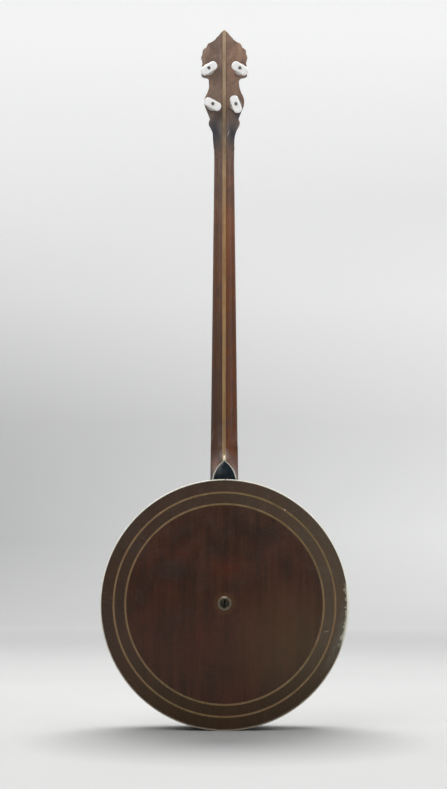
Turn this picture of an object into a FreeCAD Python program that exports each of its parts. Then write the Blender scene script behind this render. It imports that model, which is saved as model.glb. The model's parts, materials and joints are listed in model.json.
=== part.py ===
import FreeCAD, Part
import Sketcher
import math
import os

# Plectrum banjo with a resonator, in millimetres.
# +Z runs up the neck, +X to the right seen from behind, +Y out of the playing face.
# The origin is the lowest point of the resonator's side wall, in the plane of its depth datum.

document = FreeCAD.newDocument("plectrum_banjo")
sheet = document.addObject("Spreadsheet::Sheet", "Sizes")

SIZES = (
    # Resonator
    ("resonator_radius", 165.0),
    ("resonator_back_depth", 31.0),
    ("resonator_front_depth", 27.0),
    ("sidewall_thickness", 5.5),
    ("back_thickness", 6.0),
    ("back_dome_rise", 6.0),
    ("binding_width", 2.4),
    ("front_binding_height", 3.0),
    ("inlay_edge_margin", 18.0),
    ("inlay_spacing", 15.5),
    ("inlay_width", 2.6),
    ("inlay_depth", 1.0),
    ("ferrule_radius", 9.3),
    ("ferrule_bore_radius", 5.8),
    ("ferrule_tube_wall", 1.3),
    ("ferrule_stand_out", 0.8),
    ("ferrule_flange_thickness", 1.4),
    ("ferrule_floor", 1.4),
    ("centre_screw_radius", 2.6),
    ("centre_screw_head_radius", 5.0),
    ("centre_screw_head_height", 2.8),
    ("screw_slot_width", 1.2),
    ("screw_slot_depth", 1.3),
    ("centre_post_radius", 6.9),
    ("centre_post_stud_radius", 4.0),
    ("centre_post_stud_length", 12.0),
    ("centre_screw_grip", 18.0),
    # Pot
    ("rim_setback", 25.3),
    ("rim_thickness", 16.0),
    ("rim_back_depth", 17.0),
    ("rim_front_depth", 41.0),
    ("rim_shoulder_width", 2.6),
    ("rim_shoulder_height", 3.4),
    ("tone_ring_width", 7.0),
    ("tone_ring_height", 6.0),
    ("head_thickness", 0.5),
    ("head_skirt_depth", 10.0),
    ("head_fit", 0.1),
    ("flesh_hoop_width", 3.4),
    ("flesh_hoop_height", 3.6),
    ("tension_hoop_width", 6.6),
    ("tension_hoop_height", 12.4),
    ("hoop_notch_width", 4.2),
    ("hoop_notch_depth", 1.8),
    ("hook_wire_radius", 1.8),
    ("hook_bend_radius", 2.6),
    ("hook_reach", 6.4),
    ("hook_hoop_clearance", 0.8),
    ("hook_first_angle", 9.5),
    ("hook_nut_flats", 8.0),
    ("hook_nut_length", 6.5),
    ("hook_thread_spare", 2.5),
    ("hook_fit", 0.3),
    ("flange_thickness", 3.0),
    ("flange_edge_inset", 1.6),
    ("flange_rim_fit", 0.2),
    ("flange_slot_length", 25.0),
    ("flange_slot_width", 9.0),
    ("dowel_width", 24.0),
    ("dowel_depth", 22.0),
    ("dowel_back_offset", 1.0),
    ("dowel_hole_fit", 0.2),
    ("tenon_radius", 9.0),
    ("tenon_length", 25.0),
    ("brace_width", 20.0),
    ("brace_thickness", 3.0),
    ("brace_rim_gap", 0.7),
    ("brace_leg", 24.0),
    ("brace_screw_radius", 1.8),
    ("brace_screw_head_radius", 3.6),
    ("brace_screw_head_height", 2.2),
    ("brace_screw_length", 14.0),
    # Tailpiece and end bolt
    ("end_bolt_radius", 3.0),
    ("end_bolt_head_flats", 11.0),
    ("end_bolt_head_height", 4.0),
    ("end_bolt_grip", 24.0),
    ("strap_thickness", 1.6),
    ("strap_width", 16.0),
    ("strap_hoop_gap", 0.5),
    ("tail_spacer_radius", 6.5),
    ("tail_base_width", 28.0),
    ("tail_base_length", 44.0),
    ("tail_cover_wall", 1.0),
    ("tail_cover_depth", 6.5),
    ("tail_cover_side_fit", 0.5),
    ("tail_cover_base_gap", 0.2),
    ("tail_cover_length", 34.0),
    ("hinge_pin_radius", 1.2),
    ("hinge_pin_fit", 0.05),
    ("hinge_knuckle_wall", 1.2),
    ("hinge_end_play", 0.4),
    # Neck
    ("scale_length", 685.8),
    ("bridge_offset", 42.8),
    ("neck_half_width_nut", 14.2),
    ("neck_half_width_heel", 19.6),
    ("neck_depth_nut", 14.0),
    ("neck_depth_heel", 19.0),
    ("neck_side_height", 4.0),
    ("fingerboard_back", 49.0),
    ("fingerboard_thickness", 5.0),
    ("edge_binding_width", 1.4),
    ("centre_strip_width", 5.4),
    ("neck_fit", 0.1),
    ("neck_notch_fit", 0.3),
    ("heel_cap_depth", 16.0),
    ("heel_cap_thickness", 2.0),
    ("heel_cap_reach", 27.5),
    ("heel_cap_half_width", 16.4),
    ("heel_arch_length", 28.0),
    ("heel_sweep_length", 52.0),
    ("heel_border_width", 1.1),
    ("nut_thickness", 5.0),
    ("nut_rise", 1.3),
    ("fret_width", 2.2),
    ("fret_rise", 1.0),
    ("fret_tang_width", 0.6),
    ("fret_tang_depth", 1.8),
    ("dot_radius", 3.0),
    ("dot_depth", 1.0),
    # Peghead
    ("peghead_tilt", 12.0),
    ("peghead_start_drop", 2.0),
    ("peghead_length", 172.8),
    ("peghead_half_width", 33.3),
    ("peghead_wood_thickness", 12.5),
    ("overlay_thickness", 1.5),
    ("peg_hole_fit", 0.1),
    ("upper_peg_height", 115.2),
    ("upper_peg_offset", 21.9),
    ("lower_peg_height", 65.0),
    ("lower_peg_offset", 16.4),
    # Tuners
    ("peg_case_radius", 8.2),
    ("peg_case_depth", 10.0),
    ("peg_case_wall", 1.2),
    ("peg_sleeve_radius", 5.0),
    ("peg_sleeve_spare", 3.5),
    ("peg_nut_flats", 13.0),
    ("peg_nut_height", 3.0),
    ("string_post_radius", 3.0),
    ("string_post_rise", 16.0),
    ("string_hole_radius", 0.8),
    ("shaft_fit", 0.05),
    ("carrier_radius", 5.4),
    ("carrier_thickness", 1.6),
    ("planet_pin_radius", 0.7),
    ("gear_module", 0.35),
    ("gear_width", 3.2),
    ("gear_end_gap", 0.4),
    ("input_shaft_radius", 1.8),
    ("collar_radius", 4.0),
    ("collar_gap", 0.3),
    ("collar_length", 3.0),
    ("button_length", 25.4),
    ("button_width", 12.4),
    ("button_depth", 9.0),
    ("button_corner_radius", 5.8),
    ("button_edge_radius", 3.2),
    ("button_slot_width", 0.6),
    ("button_screw_radius", 2.3),
    ("button_screw_head", 1.2),
    # Bridge and strings
    ("bridge_half_length", 32.0),
    ("bridge_height", 12.7),
    ("bridge_foot_thickness", 6.0),
    ("saddle_height", 2.0),
    ("saddle_thickness", 2.2),
    ("saddle_half_length", 28.0),
    ("string_spacing_bridge", 12.6),
    ("string_spacing_nut", 7.8),
    ("string_radius", 0.3),
    ("string_seat_gap", 0.15),
    ("string_bend_radius", 4.0),
    # Shared
    ("cut_overrun", 2.0),
)


class Size:
    # A length with the expression that it comes from, so that sums keep both.
    def __init__(self, text, number):
        self.text = text
        self.number = number

    def __float__(self):
        return self.number

    def joined(self, other, sign, number):
        return Size("(%s %s %s)" % (self.text, sign, text_of(other)), number)

    def __add__(self, other):
        return self.joined(other, "+", self.number + float(other))

    def __sub__(self, other):
        return self.joined(other, "-", self.number - float(other))

    def __mul__(self, other):
        return self.joined(other, "*", self.number * float(other))

    def __truediv__(self, other):
        return self.joined(other, "/", self.number / float(other))

    def __rmul__(self, other):
        return self * other

    def __neg__(self):
        return Size("(0 - %s)" % self.text, -self.number)


def text_of(value):
    return value.text if isinstance(value, Size) else repr(float(value))


class Sheet:
    pass


S = Sheet()
for row, (alias, number) in enumerate(SIZES, 1):
    sheet.set("A%d" % row, alias)
    sheet.set("B%d" % row, str(number))
    sheet.setAlias("B%d" % row, alias)
document.recompute()
for alias, number in SIZES:
    setattr(S, alias, Size("Sizes." + alias, float(sheet.get(alias))))

ZERO = Size("0", 0.0)
NODES = []
HOOK_COUNT = 24
OCTAVE_STEPS = 12
HEX_SIDES = 6
SUN_TEETH = 12
PLANET_TEETH = 12
RING_TEETH = 36
PLANET_COUNT = 2
STRING_COUNT = 4
DOT_FRET_INDEXES = (5, 7, 10, 12, 15, 17, 19, 22)

# Derived places
pot_height = S.resonator_radius
back_plane = -S.resonator_back_depth
back_seat = back_plane + S.back_thickness
wall_inner = S.resonator_radius - S.sidewall_thickness
plate_radius = S.resonator_radius - S.binding_width
inlay_outer_radius = S.resonator_radius - S.inlay_edge_margin
inlay_inner_radius = inlay_outer_radius - S.inlay_spacing
back_centre = back_plane - S.back_dome_rise
rim_radius = S.resonator_radius - S.rim_setback
rim_inner = rim_radius - S.rim_thickness
rim_back = -S.rim_back_depth
flange_back = S.resonator_front_depth
flange_front = flange_back + S.flange_thickness
shoulder_front = flange_front + S.rim_shoulder_height
head_front = S.rim_front_depth + S.tone_ring_height
head_face = head_front + S.head_thickness
head_skirt_inner = rim_radius + S.head_fit
head_skirt_outer = head_skirt_inner + S.head_thickness
flesh_back = head_face - S.head_skirt_depth - S.flesh_hoop_height
flesh_front = flesh_back + S.flesh_hoop_height
hoop_inner = head_skirt_outer + S.head_fit
hoop_outer = hoop_inner + S.tension_hoop_width
hoop_front = flesh_front + S.tension_hoop_height
hook_circle = hoop_outer + S.hook_hoop_clearance + S.hook_wire_radius
hook_arm_level = hoop_front - S.hoop_notch_depth + S.hook_wire_radius
hook_pitch_angle = (360 - 2 * S.hook_first_angle.number) / (HOOK_COUNT - 1)
first_hook_turn = S.hook_first_angle.number - 90
dowel_back = S.dowel_back_offset
dowel_front = dowel_back + S.dowel_depth
dowel_middle = dowel_back + S.dowel_depth / 2
fingerboard_front = S.fingerboard_back + S.fingerboard_thickness
fingerboard_end = pot_height + hoop_outer + S.head_fit
bridge_height_on_neck = pot_height - S.bridge_offset
nut_height = bridge_height_on_neck + S.scale_length
heel_apex_height = pot_height + S.resonator_radius + S.heel_cap_reach
peghead_start_height = nut_height - S.peghead_start_drop
neck_back_nut = S.fingerboard_back - S.neck_depth_nut
neck_back_heel = S.fingerboard_back - S.neck_depth_heel
heel_cap_plane = -S.heel_cap_depth
peghead_thickness = S.peghead_wood_thickness + S.overlay_thickness


# Helpers that make document objects

def node(thing, name):
    thing.Label = name
    NODES.append(thing)
    return thing


def bind(thing, field, value):
    thing.setExpression(field, text_of(value))


def place_at(thing, x=ZERO, y=ZERO, z=ZERO, axis=None, angle=0.0):
    rotation = FreeCAD.Rotation(FreeCAD.Vector(*(axis or (0, 0, 1))), float(angle))
    base = FreeCAD.Vector(float(x), float(y), float(z))
    thing.Placement = FreeCAD.Placement(base, rotation)
    for letter, value in (("x", x), ("y", y), ("z", z)):
        if value is not ZERO:
            bind(thing, ".Placement.Base." + letter, value)


def new_body(name):
    body = document.addObject("PartDesign::Body", name + "_body")
    body.Label = name
    return body


def origin_part(body, role):
    return [part for part in body.Origin.OriginFeatures if part.Role == role][0]


def new_sketch(body, plane, lift=ZERO):
    sketch = body.newObject("Sketcher::SketchObject", "outline")
    sketch.AttachmentSupport = [(origin_part(body, plane), "")]
    sketch.MapMode = "FlatFace"
    if lift is not ZERO:
        bind(sketch, ".AttachmentOffset.Base.z", lift)
    return sketch


def fix_point(sketch, shape, end, place):
    for kind, value in zip(("DistanceX", "DistanceY"), place):
        index = sketch.addConstraint(Sketcher.Constraint(kind, -1, 1, shape, end, float(value)))
        bind(sketch, "Constraints[%d]" % index, value)


def add_polygon(sketch, points):
    first = sketch.GeometryCount
    count = len(points)
    for index, point in enumerate(points):
        following = points[(index + 1) % count]
        start = FreeCAD.Vector(float(point[0]), float(point[1]), 0)
        finish = FreeCAD.Vector(float(following[0]), float(following[1]), 0)
        sketch.addGeometry(Part.LineSegment(start, finish), False)
    for index in range(count):
        following = first + (index + 1) % count
        sketch.addConstraint(Sketcher.Constraint("Coincident", first + index, 2, following, 1))
    for index, point in enumerate(points):
        fix_point(sketch, first + index, 1, point)


def add_circle(sketch, x, y, radius):
    circle = Part.Circle(FreeCAD.Vector(float(x), float(y), 0), FreeCAD.Vector(0, 0, 1), float(radius))
    index = sketch.addGeometry(circle, False)
    fix_point(sketch, index, 3, (x, y))
    rule = sketch.addConstraint(Sketcher.Constraint("Radius", index, float(radius)))
    bind(sketch, "Constraints[%d]" % rule, radius)


def revolve(body, points, plane):
    # On XY_Plane the shape turns about Y, on XZ_Plane about Z: the sketch's own upright axis.
    sketch = new_sketch(body, plane)
    add_polygon(sketch, points)
    turned = body.newObject("PartDesign::Revolution", "turning")
    turned.Profile = sketch
    turned.ReferenceAxis = (sketch, ["V_Axis"])
    turned.Angle = 360
    body.Tip = turned
    return turned


def pad(body, plane, points, length, lift=ZERO):
    sketch = new_sketch(body, plane, lift)
    add_polygon(sketch, points)
    padded = body.newObject("PartDesign::Pad", "thickness")
    padded.Profile = sketch
    bind(padded, "Length", length)
    body.Tip = padded
    return padded


def pad_disc(body, plane, radius, length, lift=ZERO, inner=None):
    sketch = new_sketch(body, plane, lift)
    add_circle(sketch, ZERO, ZERO, radius)
    if inner is not None:
        add_circle(sketch, ZERO, ZERO, inner)
    padded = body.newObject("PartDesign::Pad", "thickness")
    padded.Profile = sketch
    bind(padded, "Length", length)
    body.Tip = padded
    return padded


def pocket(body, sketch, length):
    document.recompute()
    before = body.Shape.Volume
    cut = body.newObject("PartDesign::Pocket", "opening")
    cut.Profile = sketch
    bind(cut, "Length", length)
    body.Tip = cut
    document.recompute()
    if cut.Shape.Volume >= before:
        raise RuntimeError("A pocket of %s cuts nothing" % body.Label)
    return cut


def polar(body, original, axis, angle, count):
    pattern = body.newObject("PartDesign::PolarPattern", "around")
    pattern.Originals = [original]
    pattern.Axis = (origin_part(body, axis), [""])
    pattern.Angle = angle
    pattern.Occurrences = count
    body.Tip = pattern
    return pattern


def soften(body, edges, radius):
    document.recompute()
    before = body.Tip
    fillet = body.newObject("PartDesign::Fillet", "softened")
    fillet.Base = (before, edges)
    bind(fillet, "Radius", radius)
    body.Tip = fillet
    return fillet


def rectangle(x_low, x_high, y_low, y_high):
    return ((x_low, y_low), (x_high, y_low), (x_high, y_high), (x_low, y_high))


def ring_profile(inner, outer, low, high):
    return rectangle(inner, outer, low, high)


def turned_about_y(name, points):
    body = new_body(name)
    revolve(body, points, "XY_Plane")
    place_at(body, z=pot_height)
    return body


def block(name, x_low, x_high, y_low, y_high, z_low, z_high):
    box = document.addObject("Part::Box", name + "_box")
    bind(box, "Length", x_high - x_low)
    bind(box, "Width", y_high - y_low)
    bind(box, "Height", z_high - z_low)
    place_at(box, x_low, y_low, z_low)
    box.Label = name
    return box


def rod(name, radius, length, x, y, z, axis=None, angle=0.0):
    cylinder = document.addObject("Part::Cylinder", name + "_rod")
    bind(cylinder, "Radius", radius)
    bind(cylinder, "Height", length)
    place_at(cylinder, x, y, z, axis, angle)
    cylinder.Label = name
    return cylinder


def cut(name, base, tool):
    result = document.addObject("Part::Cut", name + "_cut")
    result.Base = base
    result.Tool = tool
    result.Label = name
    return result


def joined(name, *things):
    result = document.addObject("Part::MultiFuse", name + "_fuse")
    result.Shapes = list(things)
    result.Refine = True
    result.Label = name
    return result


def feature(name, shape, placement=None):
    thing = document.addObject("Part::Feature", name + "_shape")
    thing.Shape = shape
    if placement is not None:
        thing.Placement = placement
    thing.Label = name
    return thing


def vector(x, y, z):
    return FreeCAD.Vector(float(x), float(y), float(z))


def prism(points, direction):
    wire = Part.makePolygon(list(points) + [points[0]])
    return Part.Face(wire).extrude(direction)


def cylinder_y(radius, low, high, height=None):
    base = vector(0, low, pot_height if height is None else height)
    return Part.makeCylinder(float(radius), float(high) - float(low), base, vector(0, 1, 0))


def box_between(x_low, x_high, y_low, y_high, z_low, z_high):
    lengths = (float(x_high) - float(x_low), float(y_high) - float(y_low), float(z_high) - float(z_low))
    return Part.makeBox(*lengths, vector(x_low, y_low, z_low))


def hexagon_y(flats, low, high, x, z):
    # A hexagon across flats, extruded along the pot's axis.
    corner = float(flats) / 2 / math.cos(math.pi / HEX_SIDES)
    points = []
    for index in range(HEX_SIDES):
        angle = 2 * math.pi * index / HEX_SIDES
        points.append(vector(float(x) + corner * math.cos(angle), low, float(z) + corner * math.sin(angle)))
    return prism(points, vector(0, float(high) - float(low), 0))


# Resonator

def make_resonator():
    # The side wall has a rabbet at its front edge for the binding and a notch for the heel.
    rabbet = S.resonator_front_depth - S.front_binding_height
    wall_profile = (
        (wall_inner, back_seat),
        (S.resonator_radius, back_seat),
        (S.resonator_radius, rabbet),
        (plate_radius, rabbet),
        (plate_radius, S.resonator_front_depth),
        (wall_inner, S.resonator_front_depth),
    )
    wall_blank = turned_about_y("sidewall_blank", wall_profile)
    front_ring = ring_profile(plate_radius, S.resonator_radius, rabbet, S.resonator_front_depth)
    front_blank = turned_about_y("front_binding_blank", front_ring)
    notch_half = S.neck_half_width_heel + S.neck_notch_fit
    notch_back = heel_cap_plane - S.heel_cap_thickness - S.neck_fit
    for name, blank in (("resonator_sidewall", wall_blank), ("resonator_front_binding", front_blank)):
        notch = block(
            name + "_notch", -notch_half, notch_half, notch_back, S.resonator_front_depth + S.cut_overrun,
            pot_height, pot_height + S.resonator_radius + S.cut_overrun)
        node(cut(name, blank, notch), name)
    back_ring = ring_profile(plate_radius, S.resonator_radius, back_plane, back_seat)
    node(turned_about_y("resonator_back_binding", back_ring), "resonator_back_binding")

    # The back is a shallow dome of even thickness with two inlaid rings.
    radius = float(plate_radius)
    rise = float(S.back_dome_rise)
    thickness = vector(0, S.back_thickness, 0)
    rim_point = vector(radius, back_plane, 0)
    crown = vector(0, back_centre, 0)
    dome_radius = (radius * radius + rise * rise) / (2 * rise)
    half = radius / 2
    mid_depth = float(back_centre) + dome_radius - math.sqrt(dome_radius * dome_radius - half * half)
    mid_point = vector(half, mid_depth, 0)
    outer_arc = Part.Arc(crown, mid_point, rim_point).toShape()
    inner_arc = Part.Arc(crown + thickness, mid_point + thickness, rim_point + thickness).toShape()
    sides = [
        outer_arc,
        Part.makeLine(rim_point, rim_point + thickness),
        inner_arc,
        Part.makeLine(crown + thickness, crown),
    ]
    face = Part.Face(Part.Wire(Part.__sortEdges__(sides)))
    dome = face.revolve(vector(0, 0, 0), vector(0, 1, 0), 360)
    dome.translate(vector(0, 0, pot_height))
    deeper = dome.copy()
    deeper.translate(vector(0, S.inlay_depth, 0))
    rings = []
    for middle in (inlay_inner_radius, inlay_outer_radius):
        low = back_centre - S.cut_overrun
        outer = cylinder_y(middle + S.inlay_width / 2, low, back_seat)
        inner = cylinder_y(middle - S.inlay_width / 2, low, back_seat)
        rings.append(dome.common(outer.cut(inner)).cut(deeper).Solids[0])
    inlay = Part.makeCompound(rings)
    flange_floor = back_centre - S.ferrule_stand_out + S.ferrule_flange_thickness
    low = back_centre - S.cut_overrun
    recess = cylinder_y(S.ferrule_radius, low, flange_floor)
    bore = cylinder_y(S.ferrule_bore_radius + S.ferrule_tube_wall, low, back_seat + S.cut_overrun)
    plate = dome.cut(rings[0]).cut(rings[1]).cut(recess).cut(bore)
    node(feature("resonator_back", plate), "resonator_back")
    node(feature("resonator_inlay_rings", inlay), "resonator_inlay_rings")


def make_centre_fixing():
    # A cup-shaped ferrule lets the centre screw sit below the back's surface.
    lip = back_centre - S.ferrule_stand_out
    lip_floor = lip + S.ferrule_flange_thickness
    tube = S.ferrule_bore_radius + S.ferrule_tube_wall
    cup_end = back_centre + S.back_thickness
    cup_floor = cup_end - S.ferrule_floor
    hole = S.centre_screw_radius + S.hook_fit
    profile = (
        (S.ferrule_bore_radius, lip),
        (S.ferrule_radius, lip),
        (S.ferrule_radius, lip_floor),
        (tube, lip_floor),
        (tube, cup_end),
        (hole, cup_end),
        (hole, cup_floor),
        (S.ferrule_bore_radius, cup_floor),
    )
    node(turned_about_y("centre_ferrule", profile), "centre_ferrule")

    post_profile = (
        (S.centre_screw_radius, cup_end),
        (S.centre_post_radius, cup_end),
        (S.centre_post_radius, dowel_back),
        (S.centre_post_stud_radius, dowel_back),
        (S.centre_post_stud_radius, dowel_back + S.centre_post_stud_length),
        (ZERO, dowel_back + S.centre_post_stud_length),
        (ZERO, cup_end + S.centre_screw_grip),
        (S.centre_screw_radius, cup_end + S.centre_screw_grip),
    )
    node(turned_about_y("centre_post", post_profile), "centre_post")

    head_back = cup_floor - S.centre_screw_head_height
    screw_profile = (
        (ZERO, head_back),
        (S.centre_screw_head_radius, head_back),
        (S.centre_screw_head_radius, cup_floor),
        (S.centre_screw_radius, cup_floor),
        (S.centre_screw_radius, cup_end + S.centre_screw_grip),
        (ZERO, cup_end + S.centre_screw_grip),
    )
    screw = turned_about_y("centre_screw_blank", screw_profile)
    half = S.screw_slot_width / 2
    reach = S.centre_screw_head_radius + S.cut_overrun
    slot = block(
        "centre_screw_slot", -reach, reach, head_back - S.cut_overrun, head_back + S.screw_slot_depth,
        pot_height - half, pot_height + half)
    node(cut("centre_screw", screw, slot), "centre_screw")


# Pot

def make_rim():
    profile = (
        (rim_inner, rim_back),
        (rim_radius, rim_back),
        (rim_radius, flange_front),
        (rim_radius + S.rim_shoulder_width, flange_front),
        (rim_radius + S.rim_shoulder_width, shoulder_front),
        (rim_radius, shoulder_front),
        (rim_radius, S.rim_front_depth),
        (rim_inner, S.rim_front_depth),
    )
    blank = turned_about_y("rim_blank", profile)
    half = S.dowel_width / 2 + S.dowel_hole_fit
    window = block(
        "rim_dowel_hole", -half, half, dowel_back - S.dowel_hole_fit, dowel_front + S.dowel_hole_fit,
        pot_height, pot_height + rim_radius + S.cut_overrun)
    bolt_hole = rod(
        "rim_bolt_hole", S.end_bolt_radius + S.hook_fit, S.rim_thickness + 2 * S.cut_overrun,
        ZERO, dowel_middle, pot_height - rim_radius - S.cut_overrun)
    relief_half = S.neck_half_width_heel + S.neck_notch_fit
    relief = block(
        "rim_shoulder_relief", -relief_half, relief_half, flange_front - S.neck_fit,
        shoulder_front + S.neck_fit, pot_height + rim_radius, pot_height + S.resonator_radius)
    tools = joined("rim_openings", window, bolt_hole)
    opened = cut("rim_opened", blank, tools)
    node(cut("rim", opened, relief), "rim")


TONE_RING_ROUND_SHARE = 0.45


def make_tone_ring():
    body = new_body("tone_ring")
    inner = rim_radius - S.tone_ring_width
    revolve(body, ring_profile(inner, rim_radius, S.rim_front_depth, head_front), "XY_Plane")
    document.recompute()
    crown_edges = []
    for index, edge in enumerate(body.Shape.Edges, 1):
        if abs(edge.BoundBox.YMin - float(head_front)) < float(S.head_fit) and len(edge.Vertexes) < 2:
            crown_edges.append("Edge%d" % index)
    soften(body, crown_edges, S.tone_ring_width * TONE_RING_ROUND_SHARE)
    place_at(body, z=pot_height)
    node(body, "tone_ring")


def make_head():
    skirt_end = head_face - S.head_skirt_depth
    profile = (
        (ZERO, head_front),
        (head_skirt_inner, head_front),
        (head_skirt_inner, skirt_end),
        (head_skirt_outer, skirt_end),
        (head_skirt_outer, head_face),
        (ZERO, head_face),
    )
    node(turned_about_y("head", profile), "head")
    flesh = ring_profile(
        head_skirt_inner, head_skirt_inner + S.flesh_hoop_width, flesh_back, flesh_front)
    node(turned_about_y("flesh_hoop", flesh), "flesh_hoop")


def hook_frame_body(name):
    # Its local X axis points at the first bracket hook beside the neck.
    body = new_body(name)
    place_at(body, z=pot_height, axis=(0, 1, 0), angle=first_hook_turn)
    return body


def make_tension_hoop():
    body = hook_frame_body("tension_hoop")
    revolve(body, ring_profile(hoop_inner, hoop_outer, flesh_front, hoop_front), "XY_Plane")
    notch = new_sketch(body, "XZ_Plane", -(hoop_front - S.hoop_notch_depth))
    half = S.hoop_notch_width / 2
    notch_inner = hook_circle - S.hook_reach - S.head_fit
    add_polygon(notch, rectangle(notch_inner, hoop_outer + S.cut_overrun, -half, half))
    opening = pocket(body, notch, S.hoop_notch_depth + S.cut_overrun)
    polar(body, opening, "Y_Axis", 360 - 2 * S.hook_first_angle.number, HOOK_COUNT)
    node(body, "tension_hoop")


def make_flange():
    # A one-piece plate between rim and side wall, with a rounded sound slot between each pair of hooks.
    body = hook_frame_body("flange_plate")
    outer = S.resonator_radius - S.flange_edge_inset
    inner = rim_radius + S.flange_rim_fit
    pad_disc(body, "XZ_Plane", outer, S.flange_thickness, -flange_front, inner)
    holes = new_sketch(body, "XZ_Plane", -(flange_back - S.cut_overrun))
    add_circle(holes, hook_circle, ZERO, S.hook_wire_radius + S.hook_fit)
    opening = pocket(body, holes, S.flange_thickness + 2 * S.cut_overrun)
    polar(body, opening, "Y_Axis", 360 - 2 * S.hook_first_angle.number, HOOK_COUNT)
    slots = []
    slot_circle = float(rim_radius + outer) / 2
    reach = (float(S.flange_slot_length) - float(S.flange_slot_width)) / 2
    radius = float(S.flange_slot_width) / 2
    low = float(flange_back - S.cut_overrun)
    height = float(S.flange_thickness + 2 * S.cut_overrun)
    up = vector(0, 1, 0)
    for index in range(HOOK_COUNT - 1):
        turn = math.radians(S.hook_first_angle.number + hook_pitch_angle * (index + 0.5))
        out = vector(math.sin(turn), 0, math.cos(turn))
        along = vector(math.cos(turn), 0, -math.sin(turn))
        centre = vector(0, low, pot_height) + out * slot_circle
        corners = []
        for side, end in ((-1, -1), (1, -1), (1, 1), (-1, 1)):
            corners.append(centre + along * (reach * side) + out * (radius * end))
        straight = prism(corners, up * height)
        ends = [Part.makeCylinder(radius, height, centre + along * (reach * side), up) for side in (-1, 1)]
        slots.append(straight.fuse(ends).removeSplitter())
    sound_slots = feature("flange_sound_slots", Part.makeCompound(slots))
    slotted = cut("flange_slotted", body, sound_slots)
    half = S.neck_half_width_heel + S.neck_notch_fit
    gap = block(
        "flange_neck_gap", -half, half, flange_back - S.cut_overrun, flange_front + S.cut_overrun,
        pot_height + rim_inner, pot_height + S.resonator_radius + S.cut_overrun)
    node(cut("flange", slotted, gap), "flange")


def hook_angles():
    for index in range(HOOK_COUNT):
        yield math.radians(S.hook_first_angle.number + hook_pitch_angle * index)


def make_hooks():
    # Each hook is a bent wire: a shank along the pot's axis and an arm over the tension hoop.
    radius = float(S.hook_wire_radius)
    bend = float(S.hook_bend_radius)
    top = float(hook_arm_level)
    reach = float(S.hook_reach)
    low = float(flange_back - S.hook_nut_length - S.hook_thread_spare)
    start = vector(0, low, 0)
    corner = vector(0, top - bend, 0)
    diagonal = bend * (1 - math.sqrt(0.5))
    middle = vector(-diagonal, top - diagonal, 0)
    arm_start = vector(-bend, top, 0)
    arm_end = vector(-reach, top, 0)
    edges = [
        Part.makeLine(start, corner),
        Part.Arc(corner, middle, arm_start).toShape(),
        Part.makeLine(arm_start, arm_end),
    ]
    section = Part.Wire(Part.makeCircle(radius, start, vector(0, 1, 0)))
    hook = Part.Wire(edges).makePipeShell([section], True, False)
    nut_low = flange_back - S.hook_nut_length
    nut = hexagon_y(S.hook_nut_flats, nut_low, flange_back, 0, 0)
    bore = Part.makeCylinder(radius, float(S.hook_nut_length), vector(0, nut_low, 0), vector(0, 1, 0))
    nut = nut.cut(bore)
    hooks = []
    nuts = []
    for turn in hook_angles():
        across = float(hook_circle) * math.sin(turn)
        spot = vector(across, 0, float(pot_height) + float(hook_circle) * math.cos(turn))
        rotation = FreeCAD.Rotation(FreeCAD.Vector(0, 1, 0), math.degrees(turn) - 90)
        for shape, group in ((hook, hooks), (nut, nuts)):
            copy = shape.copy()
            copy.Placement = FreeCAD.Placement(spot, rotation)
            group.append(copy)
    node(feature("bracket_hooks", Part.makeCompound(hooks)), "bracket_hooks")
    node(feature("hook_nuts", Part.makeCompound(nuts)), "hook_nuts")


def make_dowel():
    # Its flat ends stop short of the rim's curve by the arc's rise over the stick's width.
    half = S.dowel_width / 2
    width_squared = S.dowel_width * S.dowel_width
    low = pot_height - rim_inner + width_squared / (8 * rim_inner) + S.neck_fit
    shoulder = pot_height + rim_radius - width_squared / (8 * rim_radius)
    stick = block("dowel_bar", -half, half, dowel_back, dowel_front, low, shoulder)
    tenon_reach = pot_height + rim_radius + S.tenon_length - shoulder
    tenon = rod("dowel_tenon", S.tenon_radius, tenon_reach, ZERO, dowel_middle, shoulder)
    whole = joined("dowel_whole", stick, tenon)
    bolt = rod("dowel_bolt_hole", S.end_bolt_radius, S.end_bolt_grip, ZERO, dowel_middle, low)
    stud = rod(
        "dowel_stud_hole", S.centre_post_stud_radius, S.centre_post_stud_length, ZERO, dowel_back, pot_height,
        (1, 0, 0), -90)
    screws = [
        rod("dowel_screw_hole_%d" % index, S.brace_screw_radius, S.brace_screw_length,
            ZERO, dowel_back, height, (1, 0, 0), -90)
        for index, height in enumerate(brace_screw_heights(), 1)
    ]
    node(cut("dowel_stick", whole, joined("dowel_holes", bolt, stud, *screws)), "dowel_stick")


BRACE_SCREW_SHARES = (0.44, 0.83)


def brace_screw_heights():
    top = pot_height + rim_inner
    return [top - S.brace_leg * share for share in BRACE_SCREW_SHARES]


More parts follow.
